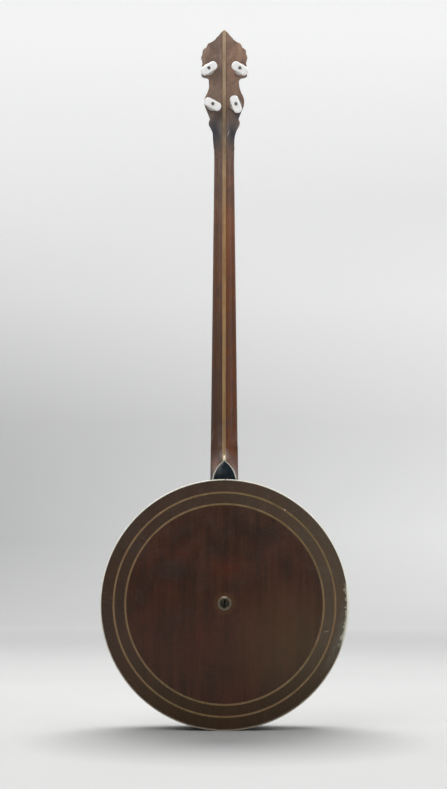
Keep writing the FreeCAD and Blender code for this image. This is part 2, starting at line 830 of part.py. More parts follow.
def make_neck_brace():
    # An angle plate on the back of the dowel stick, drawn against the inside of the rim.
    half = S.brace_width / 2
    top = pot_height + rim_inner - S.brace_rim_gap
    leg_back = dowel_back - S.brace_thickness
    profile = (
        (leg_back, top - S.brace_leg),
        (dowel_back, top - S.brace_leg),
        (dowel_back, top),
        (rim_back + S.brace_thickness, top),
        (rim_back + S.brace_thickness, top - S.brace_thickness),
        (leg_back, top - S.brace_thickness),
    )
    body = new_body("neck_brace_angle")
    pad(body, "YZ_Plane", profile, S.brace_width, -half)
    holes = [
        rod("brace_hole_%d" % index, S.brace_screw_radius, S.brace_thickness + 2 * S.cut_overrun, ZERO,
            leg_back - S.cut_overrun, height, (1, 0, 0), -90)
        for index, height in enumerate(brace_screw_heights(), 1)
    ]
    node(cut("neck_brace", body, joined("brace_holes", *holes)), "neck_brace")
    screws = []
    for height in brace_screw_heights():
        shank_low = float(leg_back)
        shank_end = dowel_back + S.brace_screw_length
        shank = cylinder_y(S.brace_screw_radius, shank_low, shank_end, height)
        head = cylinder_y(S.brace_screw_head_radius, leg_back - S.brace_screw_head_height, leg_back, height)
        screws.append(shank.fuse(head).removeSplitter())
    node(feature("neck_brace_screws", Part.makeCompound(screws)), "neck_brace_screws")


# Tailpiece

strap_inner = hoop_outer + S.strap_hoop_gap
strap_outer = strap_inner + S.strap_thickness
base_back = hoop_front + S.strap_hoop_gap
base_front = base_back + S.strap_thickness
hinge_depth = base_front + S.hinge_pin_radius + S.hinge_knuckle_wall
hinge_height = pot_height - strap_inner + S.hinge_pin_radius + S.hinge_knuckle_wall
KNUCKLE_SHARE = 0.25
knuckle_length = S.tail_base_width * KNUCKLE_SHARE


def make_tail_fixing():
    half = S.strap_width / 2
    foot = dowel_middle - S.end_bolt_head_flats
    strap = block(
        "tail_strap", -half, half, foot, base_front, pot_height - strap_outer, pot_height - strap_inner)
    base_half = S.tail_base_width / 2
    plate = block(
        "tail_plate", -base_half, base_half, base_back, base_front, pot_height - strap_outer,
        pot_height - strap_outer + S.tail_base_length)
    knuckle_radius = S.hinge_pin_radius + S.hinge_knuckle_wall
    knuckle = rod(
        "tail_base_knuckle", knuckle_radius, knuckle_length, -knuckle_length / 2, hinge_depth, hinge_height,
        (0, 1, 0), 90)
    seat = block(
        "tail_base_seat", -knuckle_length / 2, knuckle_length / 2, base_back + S.strap_thickness / 2,
        hinge_depth, hinge_height - knuckle_radius, hinge_height + knuckle_radius)
    whole = joined("tail_whole", strap, plate, knuckle, seat)
    bolt = rod(
        "strap_bolt_hole", S.end_bolt_radius + S.hook_fit, S.strap_thickness + 2 * S.cut_overrun, ZERO,
        dowel_middle, pot_height - strap_outer - S.cut_overrun)
    pin_hole = rod(
        "tail_base_pin_hole", S.hinge_pin_radius, knuckle_length + 2 * S.cut_overrun,
        -knuckle_length / 2 - S.cut_overrun, hinge_depth, hinge_height, (0, 1, 0), 90)
    node(cut("tailpiece_base", whole, joined("tail_base_holes", bolt, pin_hole)), "tailpiece_base")

    spacer_length = strap_inner - rim_radius
    spacer = rod(
        "tail_spacer_blank", S.tail_spacer_radius, spacer_length,
        ZERO, dowel_middle, pot_height - strap_inner)
    spacer_bore = rod(
        "tail_spacer_bore", S.end_bolt_radius + S.hook_fit, spacer_length + 2 * S.cut_overrun,
        ZERO, dowel_middle, pot_height - strap_inner - S.cut_overrun)
    node(cut("tailpiece_spacer", spacer, spacer_bore), "tailpiece_spacer")

    shank_length = strap_outer - rim_inner + S.end_bolt_grip
    shank = rod(
        "end_bolt_shank", S.end_bolt_radius, shank_length, ZERO, dowel_middle, pot_height - strap_outer)
    head = document.addObject("Part::Prism", "end_bolt_head")
    head.Polygon = HEX_SIDES
    bind(head, "Circumradius", S.end_bolt_head_flats / 2 / math.cos(math.pi / HEX_SIDES))
    bind(head, "Height", S.end_bolt_head_height)
    place_at(head, ZERO, dowel_middle, pot_height - strap_outer - S.end_bolt_head_height)
    node(joined("end_bolt", shank, head), "end_bolt")


def make_tail_cover():
    # A shallow lid over the string ends, hinged at the tail and lifted from the bridge side.
    knuckle_radius = S.hinge_pin_radius + S.hinge_knuckle_wall
    half = S.tail_base_width / 2 + S.tail_cover_side_fit + S.tail_cover_wall
    low = hinge_height + knuckle_radius + S.hinge_end_play
    high = low + S.tail_cover_length
    floor = base_front + S.tail_cover_base_gap
    roof = floor + S.tail_cover_depth
    wall = S.tail_cover_wall
    outside = block("tail_cover_outside", -half, half, floor, roof, low, high)
    inside = block(
        "tail_cover_inside", -half + wall, half - wall, floor - S.cut_overrun, roof - wall,
        low - S.cut_overrun, high + S.cut_overrun)
    shell = cut("tail_cover_shell", outside, inside)
    play = knuckle_length / 2 + S.hinge_end_play
    knuckle_end = half
    pieces = [shell]
    for side, start in ((1, play), (-1, -knuckle_end)):
        label = "right" if side > 0 else "left"
        length = knuckle_end - play
        pieces.append(rod(
            "cover_knuckle_" + label, knuckle_radius, length,
            start, hinge_depth, hinge_height, (0, 1, 0), 90))
        pieces.append(block(
            "cover_arm_" + label, start, start + length, hinge_depth, hinge_depth + knuckle_radius,
            hinge_height, low + wall))
        pieces.append(block(
            "cover_web_" + label, start, start + length, hinge_depth, roof, low, low + wall))
    whole = joined("tail_cover_whole", *pieces)
    bore = rod(
        "cover_pin_hole", S.hinge_pin_radius + S.hinge_pin_fit, 2 * (half + S.cut_overrun),
        -half - S.cut_overrun, hinge_depth, hinge_height, (0, 1, 0), 90)
    node(cut("tailpiece_cover", whole, bore), "tailpiece_cover")
    pin = rod(
        "tailpiece_hinge_pin", S.hinge_pin_radius, 2 * half, -half, hinge_depth, hinge_height, (0, 1, 0), 90)
    node(pin, "tailpiece_hinge_pin")


# Neck

def neck_half_width(height):
    low = float(fingerboard_end)
    share = (float(height) - low) / (float(nut_height) - low)
    return float(S.neck_half_width_heel) + share * float(S.neck_half_width_nut - S.neck_half_width_heel)


def neck_back(height):
    low = float(fingerboard_end)
    share = (float(height) - low) / (float(nut_height) - low)
    return float(neck_back_heel) + share * float(neck_back_nut - neck_back_heel)


def neck_section(height):
    # Straight sides under the fingerboard and a half ellipse as the back.
    half = neck_half_width(height)
    top = float(S.fingerboard_back)
    side = top - float(S.neck_side_height)
    bottom = neck_back(height)
    left = vector(-half, side, height)
    right = vector(half, side, height)
    centre = vector(0, side, height)
    if half > side - bottom:
        ellipse = Part.Ellipse(right, vector(0, bottom, height), centre)
    else:
        ellipse = Part.Ellipse(vector(0, bottom, height), right, centre)
    arcs = Part.makeCompound([ellipse.toShape()])
    lower = box_between(-2 * half, 2 * half, bottom - half, side, float(height) - half, float(height) + half)
    back = arcs.common(lower).Edges
    edges = back + [
        Part.makeLine(right, vector(half, top, height)),
        Part.makeLine(vector(half, top, height), vector(-half, top, height)),
        Part.makeLine(vector(-half, top, height), left),
    ]
    return Part.Wire(Part.__sortEdges__(edges))


ARCH_FULLNESS_SHARE = 0.785


def arch_outline(half, foot, apex, depth, arch_length):
    # Straight sides that close in a pointed arch, at one depth.
    spring = float(apex) - float(arch_length)
    quarter = (float(apex) + spring) / 2
    mid = float(half) * ARCH_FULLNESS_SHARE
    tip = vector(0, depth, apex)
    left = vector(-float(half), depth, spring)
    right = vector(half, depth, spring)
    return Part.Wire([
        Part.makeLine(vector(-float(half), depth, foot), vector(half, depth, foot)),
        Part.makeLine(vector(half, depth, foot), right),
        Part.Arc(right, vector(mid, depth, quarter), tip).toShape(),
        Part.Arc(tip, vector(-mid, depth, quarter), left).toShape(),
        Part.makeLine(left, vector(-float(half), depth, foot)),
    ])


HEEL_SHARES = (0.0, 0.3, 0.55, 0.75, 0.88, 0.96)


def heel_solid():
    # Pointed outlines stacked from the cap up to the neck, along a hollow quarter ellipse.
    foot = float(pot_height + rim_inner)
    cap = float(heel_cap_plane)
    rise = float(neck_back_heel) + float(S.neck_side_height) - cap
    outlines = []
    for share in HEEL_SHARES:
        depth = cap + rise * share
        sweep = 1 - math.sqrt(1 - share * share)
        apex = float(heel_apex_height) + float(S.heel_sweep_length) * sweep
        half = float(S.heel_cap_half_width) + share * float(S.neck_half_width_heel - S.heel_cap_half_width)
        half = min(half, neck_half_width(apex))
        outlines.append(arch_outline(half, foot, apex, depth, S.heel_arch_length))
    return Part.makeLoft(outlines, True, False)


OUTLINE_SHARES = (
    # Each row: the arc's middle point and its end point, as shares of half width and length.
    ((0.436, 0.020), (0.440, 0.070)),
    ((0.492, 0.153), (0.660, 0.222)),
    ((0.672, 0.238), (0.608, 0.266)),
    ((0.690, 0.310), (0.800, 0.360)),
    ((0.860, 0.412), (0.795, 0.462)),
    ((0.668, 0.520), (0.628, 0.570)),
    ((0.668, 0.600), (0.780, 0.613)),
    ((0.890, 0.617), (0.982, 0.628)),
    ((0.990, 0.650), (0.940, 0.720)),
    ((0.955, 0.748), (1.000, 0.773)),
    ((0.950, 0.798), (0.935, 0.825)),
    ((0.885, 0.841), (0.770, 0.854)),
    ((0.735, 0.874), (0.680, 0.889)),
    ((0.525, 0.902), (0.396, 0.920)),
    ((0.325, 0.938), (0.240, 0.953)),
    ((0.135, 0.978), (0.000, 1.000)),
)
OUTLINE_START_SHARES = (0.430, -0.070)


def peghead_plate(low, high):
    # Local frame: X across, Y up the peghead, Z away from its back face.
    def spot(shares, side):
        across = shares[0] * float(S.peghead_half_width) * side
        return vector(across, shares[1] * float(S.peghead_length), low)
    edges = []
    for side in (1, -1):
        start = spot(OUTLINE_START_SHARES, side)
        for middle, end in OUTLINE_SHARES:
            edges.append(Part.Arc(start, spot(middle, side), spot(end, side)).toShape())
            start = spot(end, side)
    edges.append(Part.makeLine(spot(OUTLINE_START_SHARES, -1), spot(OUTLINE_START_SHARES, 1)))
    face = Part.Face(Part.Wire(Part.__sortEdges__(edges)))
    return face.extrude(vector(0, 0, float(high) - float(low)))


def peghead_placement(across=0.0, along=0.0):
    tilt = math.radians(S.peghead_tilt.number)
    base = vector(
        across, float(neck_back_nut) - float(along) * math.sin(tilt),
        float(peghead_start_height) + float(along) * math.cos(tilt))
    return FreeCAD.Placement(base, FreeCAD.Rotation(FreeCAD.Vector(1, 0, 0), 90 + S.peghead_tilt.number))


PEGS = (
    ("upper_left", -S.upper_peg_offset, S.upper_peg_height, 31.0),
    ("upper_right", S.upper_peg_offset, S.upper_peg_height, -31.0),
    ("lower_left", -S.lower_peg_offset, S.lower_peg_height, -28.0),
    ("lower_right", S.lower_peg_offset, S.lower_peg_height, -69.0),
)


def drilled(plate):
    for name, across, along, turn in PEGS:
        hole = Part.makeCylinder(
            float(S.peg_sleeve_radius + S.peg_hole_fit), float(peghead_thickness + 2 * S.cut_overrun),
            vector(across, along, -float(peghead_thickness + S.cut_overrun)))
        plate = plate.cut(hole)
    return plate


def make_neck():
    shaft_low = float(pot_height + rim_inner)
    shaft_high = float(nut_height + S.nut_thickness)
    shaft = Part.makeLoft([neck_section(shaft_low), neck_section(shaft_high)], True, True)
    plate = drilled(peghead_plate(-S.peghead_wood_thickness, ZERO))
    plate.Placement = peghead_placement()
    above_board = box_between(
        -S.peghead_half_width, S.peghead_half_width, S.fingerboard_back,
        fingerboard_front + S.peghead_half_width, nut_height - S.peghead_half_width,
        nut_height + S.nut_thickness)
    plate = plate.cut(above_board)
    whole = shaft.fuse([heel_solid(), plate])
    whole = whole.cut(cylinder_y(rim_radius + S.neck_fit, heel_cap_plane - S.cut_overrun, fingerboard_front))
    shoulder_radius = rim_radius + S.rim_shoulder_width + S.neck_fit
    whole = whole.cut(cylinder_y(shoulder_radius, flange_front - S.neck_fit, fingerboard_front))
    whole = whole.cut(cylinder_y(hoop_outer + S.neck_fit, flesh_back - S.neck_fit, fingerboard_front))
    socket = Part.makeCylinder(
        float(S.tenon_radius), float(S.tenon_length + S.cut_overrun),
        vector(0, dowel_middle, pot_height + rim_radius - S.cut_overrun))
    whole = whole.cut(socket)
    strip_half = S.centre_strip_width / 2
    wide = S.peghead_half_width * 2
    low = heel_cap_plane - S.cut_overrun - S.peghead_length
    high = fingerboard_front + S.peghead_length
    foot = pot_height
    top = nut_height + S.peghead_length * 2
    slab = box_between(-strip_half, strip_half, low, high, foot, top)
    right = box_between(strip_half, wide, low, high, foot, top)
    left = box_between(-wide, -strip_half, low, high, foot, top)
    node(feature("neck_centre_strip", whole.common(slab).removeSplitter()), "neck_centre_strip")
    node(feature("neck_right_half", whole.common(right).removeSplitter()), "neck_right_half")
    node(feature("neck_left_half", whole.common(left).removeSplitter()), "neck_left_half")

    overlay = drilled(peghead_plate(-peghead_thickness, -S.peghead_wood_thickness))
    overlay.Placement = peghead_placement()
    behind_nut = box_between(
        -S.peghead_half_width, S.peghead_half_width, neck_back_nut - S.peghead_half_width,
        fingerboard_front + S.peghead_half_width, nut_height - S.peghead_half_width,
        nut_height + S.nut_thickness)
    node(feature("peghead_overlay", overlay.cut(behind_nut)), "peghead_overlay")


BORDER_TIP_SHARE = 2.0


def make_heel_cap():
    foot = pot_height + rim_radius + S.neck_fit
    border = float(S.heel_border_width)
    cap_back = heel_cap_plane - S.heel_cap_thickness
    upward = vector(0, S.heel_cap_thickness, 0)
    outer = arch_outline(S.heel_cap_half_width, foot, heel_apex_height, cap_back, S.heel_arch_length)
    inner_half = float(S.heel_cap_half_width) - border
    inner_apex = float(heel_apex_height) - border * BORDER_TIP_SHARE
    low = float(foot) - float(S.rim_thickness)
    inner = arch_outline(inner_half, low, inner_apex, cap_back, S.heel_arch_length)
    outer_solid = Part.Face(outer).extrude(upward)
    inner_solid = Part.Face(inner).extrude(upward)
    round_end = cylinder_y(rim_radius + S.neck_fit, cap_back - S.cut_overrun, heel_cap_plane + S.cut_overrun)
    cap = inner_solid.common(outer_solid).cut(round_end)
    border_shape = outer_solid.cut(inner_solid).cut(round_end)
    node(feature("heel_cap", cap), "heel_cap")
    return border_shape


def board_prism(x_side, inset, low, high, z_low, z_high):
    # A strip that follows the neck's taper, from the inset line out to the edge.
    corners = []
    for height, edge in ((z_low, 0), (z_low, 1), (z_high, 1), (z_high, 0)):
        half = neck_half_width(height) - float(inset) * (1 - edge)
        corners.append(vector(half * x_side, low, height))
    return prism(corners, vector(0, float(high) - float(low), 0))


def make_fingerboard():
    heights = fret_heights()
    frets = []
    for height in heights:
        half = neck_half_width(height) - float(S.edge_binding_width)
        crown_low = fingerboard_front
        tang = box_between(
            -half, half, fingerboard_front - S.fret_tang_depth, fingerboard_front,
            height - float(S.fret_tang_width) / 2, height + float(S.fret_tang_width) / 2)
        reach = float(S.fret_width) / 2
        low = vector(-half, crown_low, height - reach)
        top = vector(-half, crown_low + S.fret_rise, height)
        high = vector(-half, crown_low, height + reach)
        bow = Part.Wire([Part.Arc(low, top, high).toShape(), Part.makeLine(high, low)])
        crown = Part.Face(bow).extrude(vector(2 * half, 0, 0))
        frets.append(crown.fuse(tang).removeSplitter())
    fret_group = feature("frets", Part.makeCompound(frets))
    node(fret_group, "frets")

    dots = []
    for number in [index for index in DOT_FRET_INDEXES if index <= len(heights)]:
        middle = (fret_height(number) + fret_height(number - 1)) / 2
        offsets = (0.0,)
        if number == OCTAVE_STEPS:
            offsets = (-float(S.string_spacing_nut), float(S.string_spacing_nut))
        for offset in offsets:
            dots.append(Part.makeCylinder(
                float(S.dot_radius), float(S.dot_depth),
                vector(offset, fingerboard_front - S.dot_depth, middle), vector(0, 1, 0)))
    dot_group = feature("position_dots", Part.makeCompound(dots))
    node(dot_group, "position_dots")

    low_half = Size(S.neck_half_width_heel.text, neck_half_width(fingerboard_end)) - S.edge_binding_width
    high_half = S.neck_half_width_nut - S.edge_binding_width
    blank = new_body("fingerboard_blank")
    outline = (
        (-low_half, fingerboard_end),
        (low_half, fingerboard_end),
        (high_half, nut_height),
        (-high_half, nut_height),
    )
    pad(blank, "XZ_Plane", outline, S.fingerboard_thickness, -fingerboard_front)
    slotted = cut("fingerboard_slotted", blank, fret_group)
    trimmed = cut("fingerboard_inlaid", slotted, dot_group)
    hoop_clear = rod(
        "fingerboard_hoop_clear", hoop_outer + S.neck_fit, S.fingerboard_thickness + 2 * S.cut_overrun, ZERO,
        S.fingerboard_back - S.cut_overrun, pot_height, (1, 0, 0), -90)
    node(cut("fingerboard", trimmed, hoop_clear), "fingerboard")

    clear = cylinder_y(
        hoop_outer + S.neck_fit, S.fingerboard_back - S.cut_overrun, fingerboard_front + S.cut_overrun)
    strips = []
    for side in (-1, 1):
        strip = board_prism(
            side, S.edge_binding_width, S.fingerboard_back, fingerboard_front, fingerboard_end, nut_height)
        strips.append(strip.cut(clear))
    strips.append(make_heel_cap())
    node(feature("neck_binding", Part.makeCompound(strips)), "neck_binding")

    half = S.neck_half_width_nut
    node(block(
        "string_nut", -half, half, S.fingerboard_back, fingerboard_front + S.nut_rise, nut_height,
        nut_height + S.nut_thickness), "string_nut")


def fret_height(number):
    return float(nut_height) - float(S.scale_length) * (1 - 2 ** (-number / OCTAVE_STEPS))


def fret_heights():
    # From the nut down, as many as the board holds.
    heights = []
    height = fret_height(1)
    while height - float(S.fret_width) > float(fingerboard_end):
        heights.append(height)
        height = fret_height(len(heights) + 1)
    return heights


# Bridge and strings

BRIDGE_SHARES = (
    # Feet and arches of the bridge: shares of half length across and of height up.
    (-1.00, 0.00), (-0.78, 0.00), (-0.66, 0.38), (-0.30, 0.38), (-0.14, 0.00), (0.14, 0.00),
    (0.30, 0.38), (0.66, 0.38), (0.78, 0.00), (1.00, 0.00), (0.88, 1.00), (-0.88, 1.00),
)


def make_bridge():
    base_height = S.bridge_height - S.saddle_height
    body = new_body("bridge_base")
    points = [(S.bridge_half_length * x, head_face + base_height * y) for x, y in BRIDGE_SHARES]
    low_side = bridge_height_on_neck - S.bridge_foot_thickness / 2
    pad(body, "XY_Plane", points, S.bridge_foot_thickness, low_side)
    node(body, "bridge_base")
    half = S.saddle_half_length
    low = head_face + base_height
    node(block(
        "bridge_saddle", -half, half, low, low + S.saddle_height,
        bridge_height_on_neck - S.saddle_thickness / 2, bridge_height_on_neck + S.saddle_thickness / 2),
        "bridge_saddle")


def wire_along(points, radius, bend):
    # Straight runs of taut wire joined by tangent arcs.
    edges = []
    start = points[0]
    for before, corner, after in zip(points, points[1:], points[2:]):
        inward = (corner - before).normalize()
        outward = (after - corner).normalize()
        half_turn = inward.getAngle(outward) / 2
        tangent = bend * math.tan(half_turn)
        middle = corner + (outward - inward).normalize() * (bend / math.cos(half_turn) - bend)
        arc_start = corner - inward * tangent
        arc_end = corner + outward * tangent
        edges.append(Part.makeLine(start, arc_start))
        edges.append(Part.Arc(arc_start, middle, arc_end).toShape())
        start = arc_end
    edges.append(Part.makeLine(start, points[-1]))
    section = Part.Wire(Part.makeCircle(radius, points[0], points[1] - points[0]))
    return Part.Wire(edges).makePipeShell([section], True, False)


TAIL_SPREAD_SHARE = 0.8


def make_strings():
    # Pairs of a string and the post that holds it, from left to right seen from behind.
    posts = (PEGS[2], PEGS[0], PEGS[1], PEGS[3])
    radius = float(S.string_radius)
    post_level = -float(peghead_thickness + S.peg_nut_height + S.string_post_rise / 2)
    strings = []
    for index, (name, across, along, turn) in enumerate(posts):
        share = index - (STRING_COUNT - 1) / 2
        at_bridge = share * float(S.string_spacing_bridge)
        at_nut = share * float(S.string_spacing_nut)
        tail = share * float(S.string_spacing_nut) * TAIL_SPREAD_SHARE
        bridge_top = head_face + S.bridge_height + S.string_seat_gap
        nut_top = fingerboard_front + S.nut_rise + S.string_seat_gap
        side = 1 if share > 0 else -1
        beside = float(S.string_post_radius) + radius
        post_side = -side * (beside + radius / 2)
        end = peghead_placement(float(across) + post_side, float(along))
        end_point = end.multVec(FreeCAD.Vector(0, 0, post_level))
        tail_front = base_front + S.string_radius + S.string_seat_gap
        points = [
            vector(tail, tail_front, hinge_height + S.tail_cover_length / 2),
            vector(at_bridge, bridge_top + S.string_radius, bridge_height_on_neck),
            vector(at_nut, nut_top + S.string_radius, nut_height),
            vector(at_nut, nut_top + S.string_radius, nut_height + S.nut_thickness),
            end_point,
        ]
        strings.append(wire_along(points, radius, float(S.string_bend_radius)))
    node(feature("strings", Part.makeCompound(strings)), "strings")


# Tuners

sun_radius = S.gear_module * (SUN_TEETH / 2)
planet_radius = S.gear_module * (PLANET_TEETH / 2)
ring_radius = S.gear_module * (RING_TEETH / 2)
planet_circle = sun_radius + planet_radius
TIP_SHARE = 0.70
ROOT_SHARE = 1.00
TOOTH_SHARE = 0.39
FLANK_SHARE = 0.36

cavity_low = S.peg_case_wall
cavity_high = S.peg_case_depth - S.peg_case_wall
carrier_low = cavity_low + S.collar_gap
carrier_high = carrier_low + S.carrier_thickness
gear_low = carrier_high + S.gear_end_gap
gear_high = gear_low + S.gear_width
collar_low = S.peg_case_depth + S.collar_gap
collar_high = collar_low + S.collar_length
button_high = collar_high + S.button_depth


def gear_points(teeth, radius, outward, phase, height):
    # Stub teeth with straight flanks: tips reach outward on a wheel and inward on a ring.
    pitch_radius = float(radius)
    unit = float(S.gear_module)
    tip = pitch_radius + outward * unit * TIP_SHARE
    root = pitch_radius - outward * unit * ROOT_SHARE
    tooth = TOOTH_SHARE * math.pi * unit / 2
    points = []
    for index in range(teeth):
        middle = phase + 2 * math.pi * index / teeth
        tip_half = (tooth - unit * TIP_SHARE * FLANK_SHARE) / tip
        root_half = (tooth + unit * ROOT_SHARE * FLANK_SHARE) / root
        for radius_here, turn in ((root, -root_half), (tip, -tip_half), (tip, tip_half), (root, root_half)):
            angle = middle + turn
            points.append(vector(radius_here * math.cos(angle), radius_here * math.sin(angle), height))
    return points


def gear_prism(teeth, radius, outward, phase, low, high):
    return prism(gear_points(teeth, radius, outward, phase, low), vector(0, 0, float(high) - float(low)))


def rod_z(radius, low, high, x=0.0, y=0.0):
    return Part.makeCylinder(float(radius), float(high) - float(low), vector(x, y, low))


def make_housing_shape():
    # Gear case behind the peghead with a threaded sleeve through it and a ring gear inside.
    sleeve_end = -(peghead_thickness + S.peg_sleeve_spare)
    case = rod_z(S.peg_case_radius, ZERO, S.peg_case_depth).fuse(rod_z(S.peg_sleeve_radius, sleeve_end, ZERO))
    ring = gear_prism(RING_TEETH, ring_radius, -1, math.pi / RING_TEETH, cavity_low, cavity_high)
    carrier_room = rod_z(ring_radius + S.gear_module, cavity_low, gear_low - S.gear_end_gap / 2)
    post_bore = rod_z(
        S.string_post_radius + S.shaft_fit, sleeve_end - S.cut_overrun, cavity_low + S.cut_overrun)
    shaft_bore = rod_z(S.input_shaft_radius + S.shaft_fit, cavity_high, S.peg_case_depth + S.cut_overrun)
    return case.cut([ring, carrier_room, post_bore, shaft_bore]).removeSplitter()


def make_post_shape():
    post_end = -(peghead_thickness + S.peg_nut_height + S.string_post_rise)
    hole_level = -(peghead_thickness + S.peg_nut_height + S.string_post_rise / 2)
    post = rod_z(S.string_post_radius, post_end, carrier_low)
    carrier = rod_z(S.carrier_radius, carrier_low, carrier_high)
    pins = [
        rod_z(S.planet_pin_radius, carrier_high, gear_high, x=side * float(planet_circle)) for side in (1, -1)
    ]
    hole = Part.makeCylinder(
        float(S.string_hole_radius), float(2 * S.carrier_radius), vector(0, -S.carrier_radius, hole_level),
        vector(0, 1, 0))
    return post.fuse([carrier] + pins).removeSplitter().cut(hole)


def make_planet_shape():
    wheel = gear_prism(PLANET_TEETH, planet_radius, 1, 0.0, gear_low, gear_high)
    pin_bore = rod_z(
        S.planet_pin_radius + S.shaft_fit, gear_low - S.cut_overrun, gear_high + S.cut_overrun)
    return wheel.cut(pin_bore)


def make_shaft_shape():
    pinion = gear_prism(SUN_TEETH, sun_radius, 1, math.pi / SUN_TEETH, gear_low, gear_high)
    shaft = rod_z(S.input_shaft_radius, gear_high, button_high)
    collar = rod_z(S.collar_radius, collar_low, collar_high)
    screw = rod_z(S.button_screw_radius, button_high, button_high + S.button_screw_head)
    slot = box_between(
        -S.button_screw_radius, S.button_screw_radius, -S.button_slot_width / 2, S.button_slot_width / 2,
        button_high + S.button_screw_head / 2, button_high + S.button_screw_head + S.cut_overrun)
    return pinion.fuse([shaft, collar, screw]).removeSplitter().cut(slot)


def make_button_shape():
    # A rounded rectangle with soft rims on both faces.
    length = float(S.button_length)
    width = float(S.button_width)
    corner = float(S.button_corner_radius)
    solid = Part.makeBox(length, width, float(S.button_depth), vector(-length / 2, -width / 2, collar_high))
    uprights = [edge for edge in solid.Edges if edge.BoundBox.ZLength > float(S.shaft_fit)]
    solid = solid.makeFillet(corner, uprights)
    rims = [edge for edge in solid.Edges if edge.BoundBox.ZLength < float(S.shaft_fit)]
    solid = solid.makeFillet(float(S.button_edge_radius), rims)
    return solid.cut(rod_z(S.input_shaft_radius, collar_high - S.cut_overrun, button_high + S.cut_overrun))


def make_tuners():
    housings = []
    nuts = []
    nut_low = -(peghead_thickness + S.peg_nut_height)
    for name, across, along, turn in PEGS:
        spot = peghead_placement(across, along)
        housing = make_housing_shape()
        housing.Placement = spot
        housings.append(housing)
        corner = float(S.peg_nut_flats) / 2 / math.cos(math.pi / HEX_SIDES)
        points = []
        for index in range(HEX_SIDES):
            angle = 2 * math.pi * index / HEX_SIDES
            points.append(vector(corner * math.cos(angle), corner * math.sin(angle), nut_low))
        nut = prism(points, vector(0, 0, S.peg_nut_height))
        nut = nut.cut(rod_z(S.peg_sleeve_radius, nut_low - S.cut_overrun, ZERO))
        nut.Placement = spot
        nuts.append(nut)
        node(feature("tuner_shaft_" + name, make_shaft_shape(), spot), "tuner_shaft_" + name)
        turned = spot.multiply(FreeCAD.Placement(vector(0, 0, 0), FreeCAD.Rotation(vector(0, 0, 1), turn)))
        node(feature("tuner_button_" + name, make_button_shape(), turned), "tuner_button_" + name)
        node(feature("string_post_" + name, make_post_shape(), spot), "string_post_" + name)
        for number in range(1, PLANET_COUNT + 1):
            side = 1 if number == 1 else -1
            centre = spot.multVec(vector(side * float(planet_circle), 0, 0))
            label = "planet_gear_%s_%d" % (name, number)
            node(feature(label, make_planet_shape(), FreeCAD.Placement(centre, spot.Rotation)), label)
    node(feature("tuner_housings", Part.makeCompound(housings)), "tuner_housings")
    node(feature("tuner_nuts", Part.makeCompound(nuts)), "tuner_nuts")


make_resonator()
make_centre_fixing()
make_rim()
make_tone_ring()
make_head()
make_tension_hoop()
make_flange()
make_hooks()
make_dowel()
make_neck_brace()
make_tail_fixing()
make_tail_cover()
make_neck()
make_fingerboard()
make_bridge()
make_strings()
make_tuners()
document.recompute()

for thing in document.Objects:
    if "Invalid" in thing.State or "Error" in thing.State:
        raise RuntimeError("%s failed: %s" % (thing.Label, thing.State))
for thing in NODES:
    if thing.Shape.isNull() or not thing.Shape.isValid():
        raise RuntimeError("%s has no valid shape" % thing.Label)

os.makedirs("parts", exist_ok=True)
for thing in NODES:
    thing.Shape.exportStep("parts/%s.step" % thing.Label)
print("nodes written:", len(NODES))
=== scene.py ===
import json
import math

import bmesh
import bpy
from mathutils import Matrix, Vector


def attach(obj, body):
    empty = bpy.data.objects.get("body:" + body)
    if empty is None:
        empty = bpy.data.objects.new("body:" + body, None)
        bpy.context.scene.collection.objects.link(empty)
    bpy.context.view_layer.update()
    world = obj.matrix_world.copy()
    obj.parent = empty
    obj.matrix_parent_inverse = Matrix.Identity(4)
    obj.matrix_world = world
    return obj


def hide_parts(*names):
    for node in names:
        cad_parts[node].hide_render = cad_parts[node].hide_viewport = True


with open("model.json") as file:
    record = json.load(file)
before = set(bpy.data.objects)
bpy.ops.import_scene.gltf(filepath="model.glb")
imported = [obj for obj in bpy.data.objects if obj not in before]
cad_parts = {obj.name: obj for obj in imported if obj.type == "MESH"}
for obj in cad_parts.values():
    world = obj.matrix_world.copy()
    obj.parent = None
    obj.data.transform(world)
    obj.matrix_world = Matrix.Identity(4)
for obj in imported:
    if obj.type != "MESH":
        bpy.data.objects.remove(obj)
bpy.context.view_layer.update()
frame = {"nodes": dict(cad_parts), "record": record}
nodes = frame["nodes"]
slots = {subpart["node"]: subpart["material_slot"] for subpart in frame["record"]["subparts"]}

POT_CENTRE = Vector((0.0, 0.0, 0.165))


# Node building

class Open:
    # The node tree that the helpers below add to: the world's, a group's or a material's.
    tree = None


def feed(socket, value):
    # Link another node's output or set a plain value; colours come without their alpha.
    if isinstance(value, bpy.types.NodeSocket):
        Open.tree.links.new(value, socket)
    elif socket.type == "RGBA":
        socket.default_value = (*value, 1.0)
    else:
        socket.default_value = value


def put(kind, inputs=None, **settings):
    made = Open.tree.nodes.new(kind)
    for name, value in settings.items():
        setattr(made, name, value)
    for socket, value in (inputs or {}).items():
        feed(made.inputs[socket], value)
    return made


def mix(factor, first, second, blend="MIX"):
    mixer = put("ShaderNodeMix", {0: factor, 6: first, 7: second}, data_type="RGBA", blend_type=blend)
    return mixer.outputs[2]


def multiplied(colour, tone):
    return mix(1.0, colour, tone, "MULTIPLY")


def maths(operation, first, second=0.0, clamp=False):
    return put("ShaderNodeMath", {0: first, 1: second}, operation=operation, use_clamp=clamp).outputs[0]


def times(first, second):
    return maths("MULTIPLY", first, second)


def apart(first, second):
    return maths("ABSOLUTE", maths("SUBTRACT", first, second))


def vector_maths(operation, first, second=(0.0, 0.0, 0.0)):
    second_input = "Scale" if operation == "SCALE" else 1
    output = "Value" if operation in ("LENGTH", "DISTANCE") else "Vector"
    return put("ShaderNodeVectorMath", {0: first, second_input: second}, operation=operation).outputs[output]


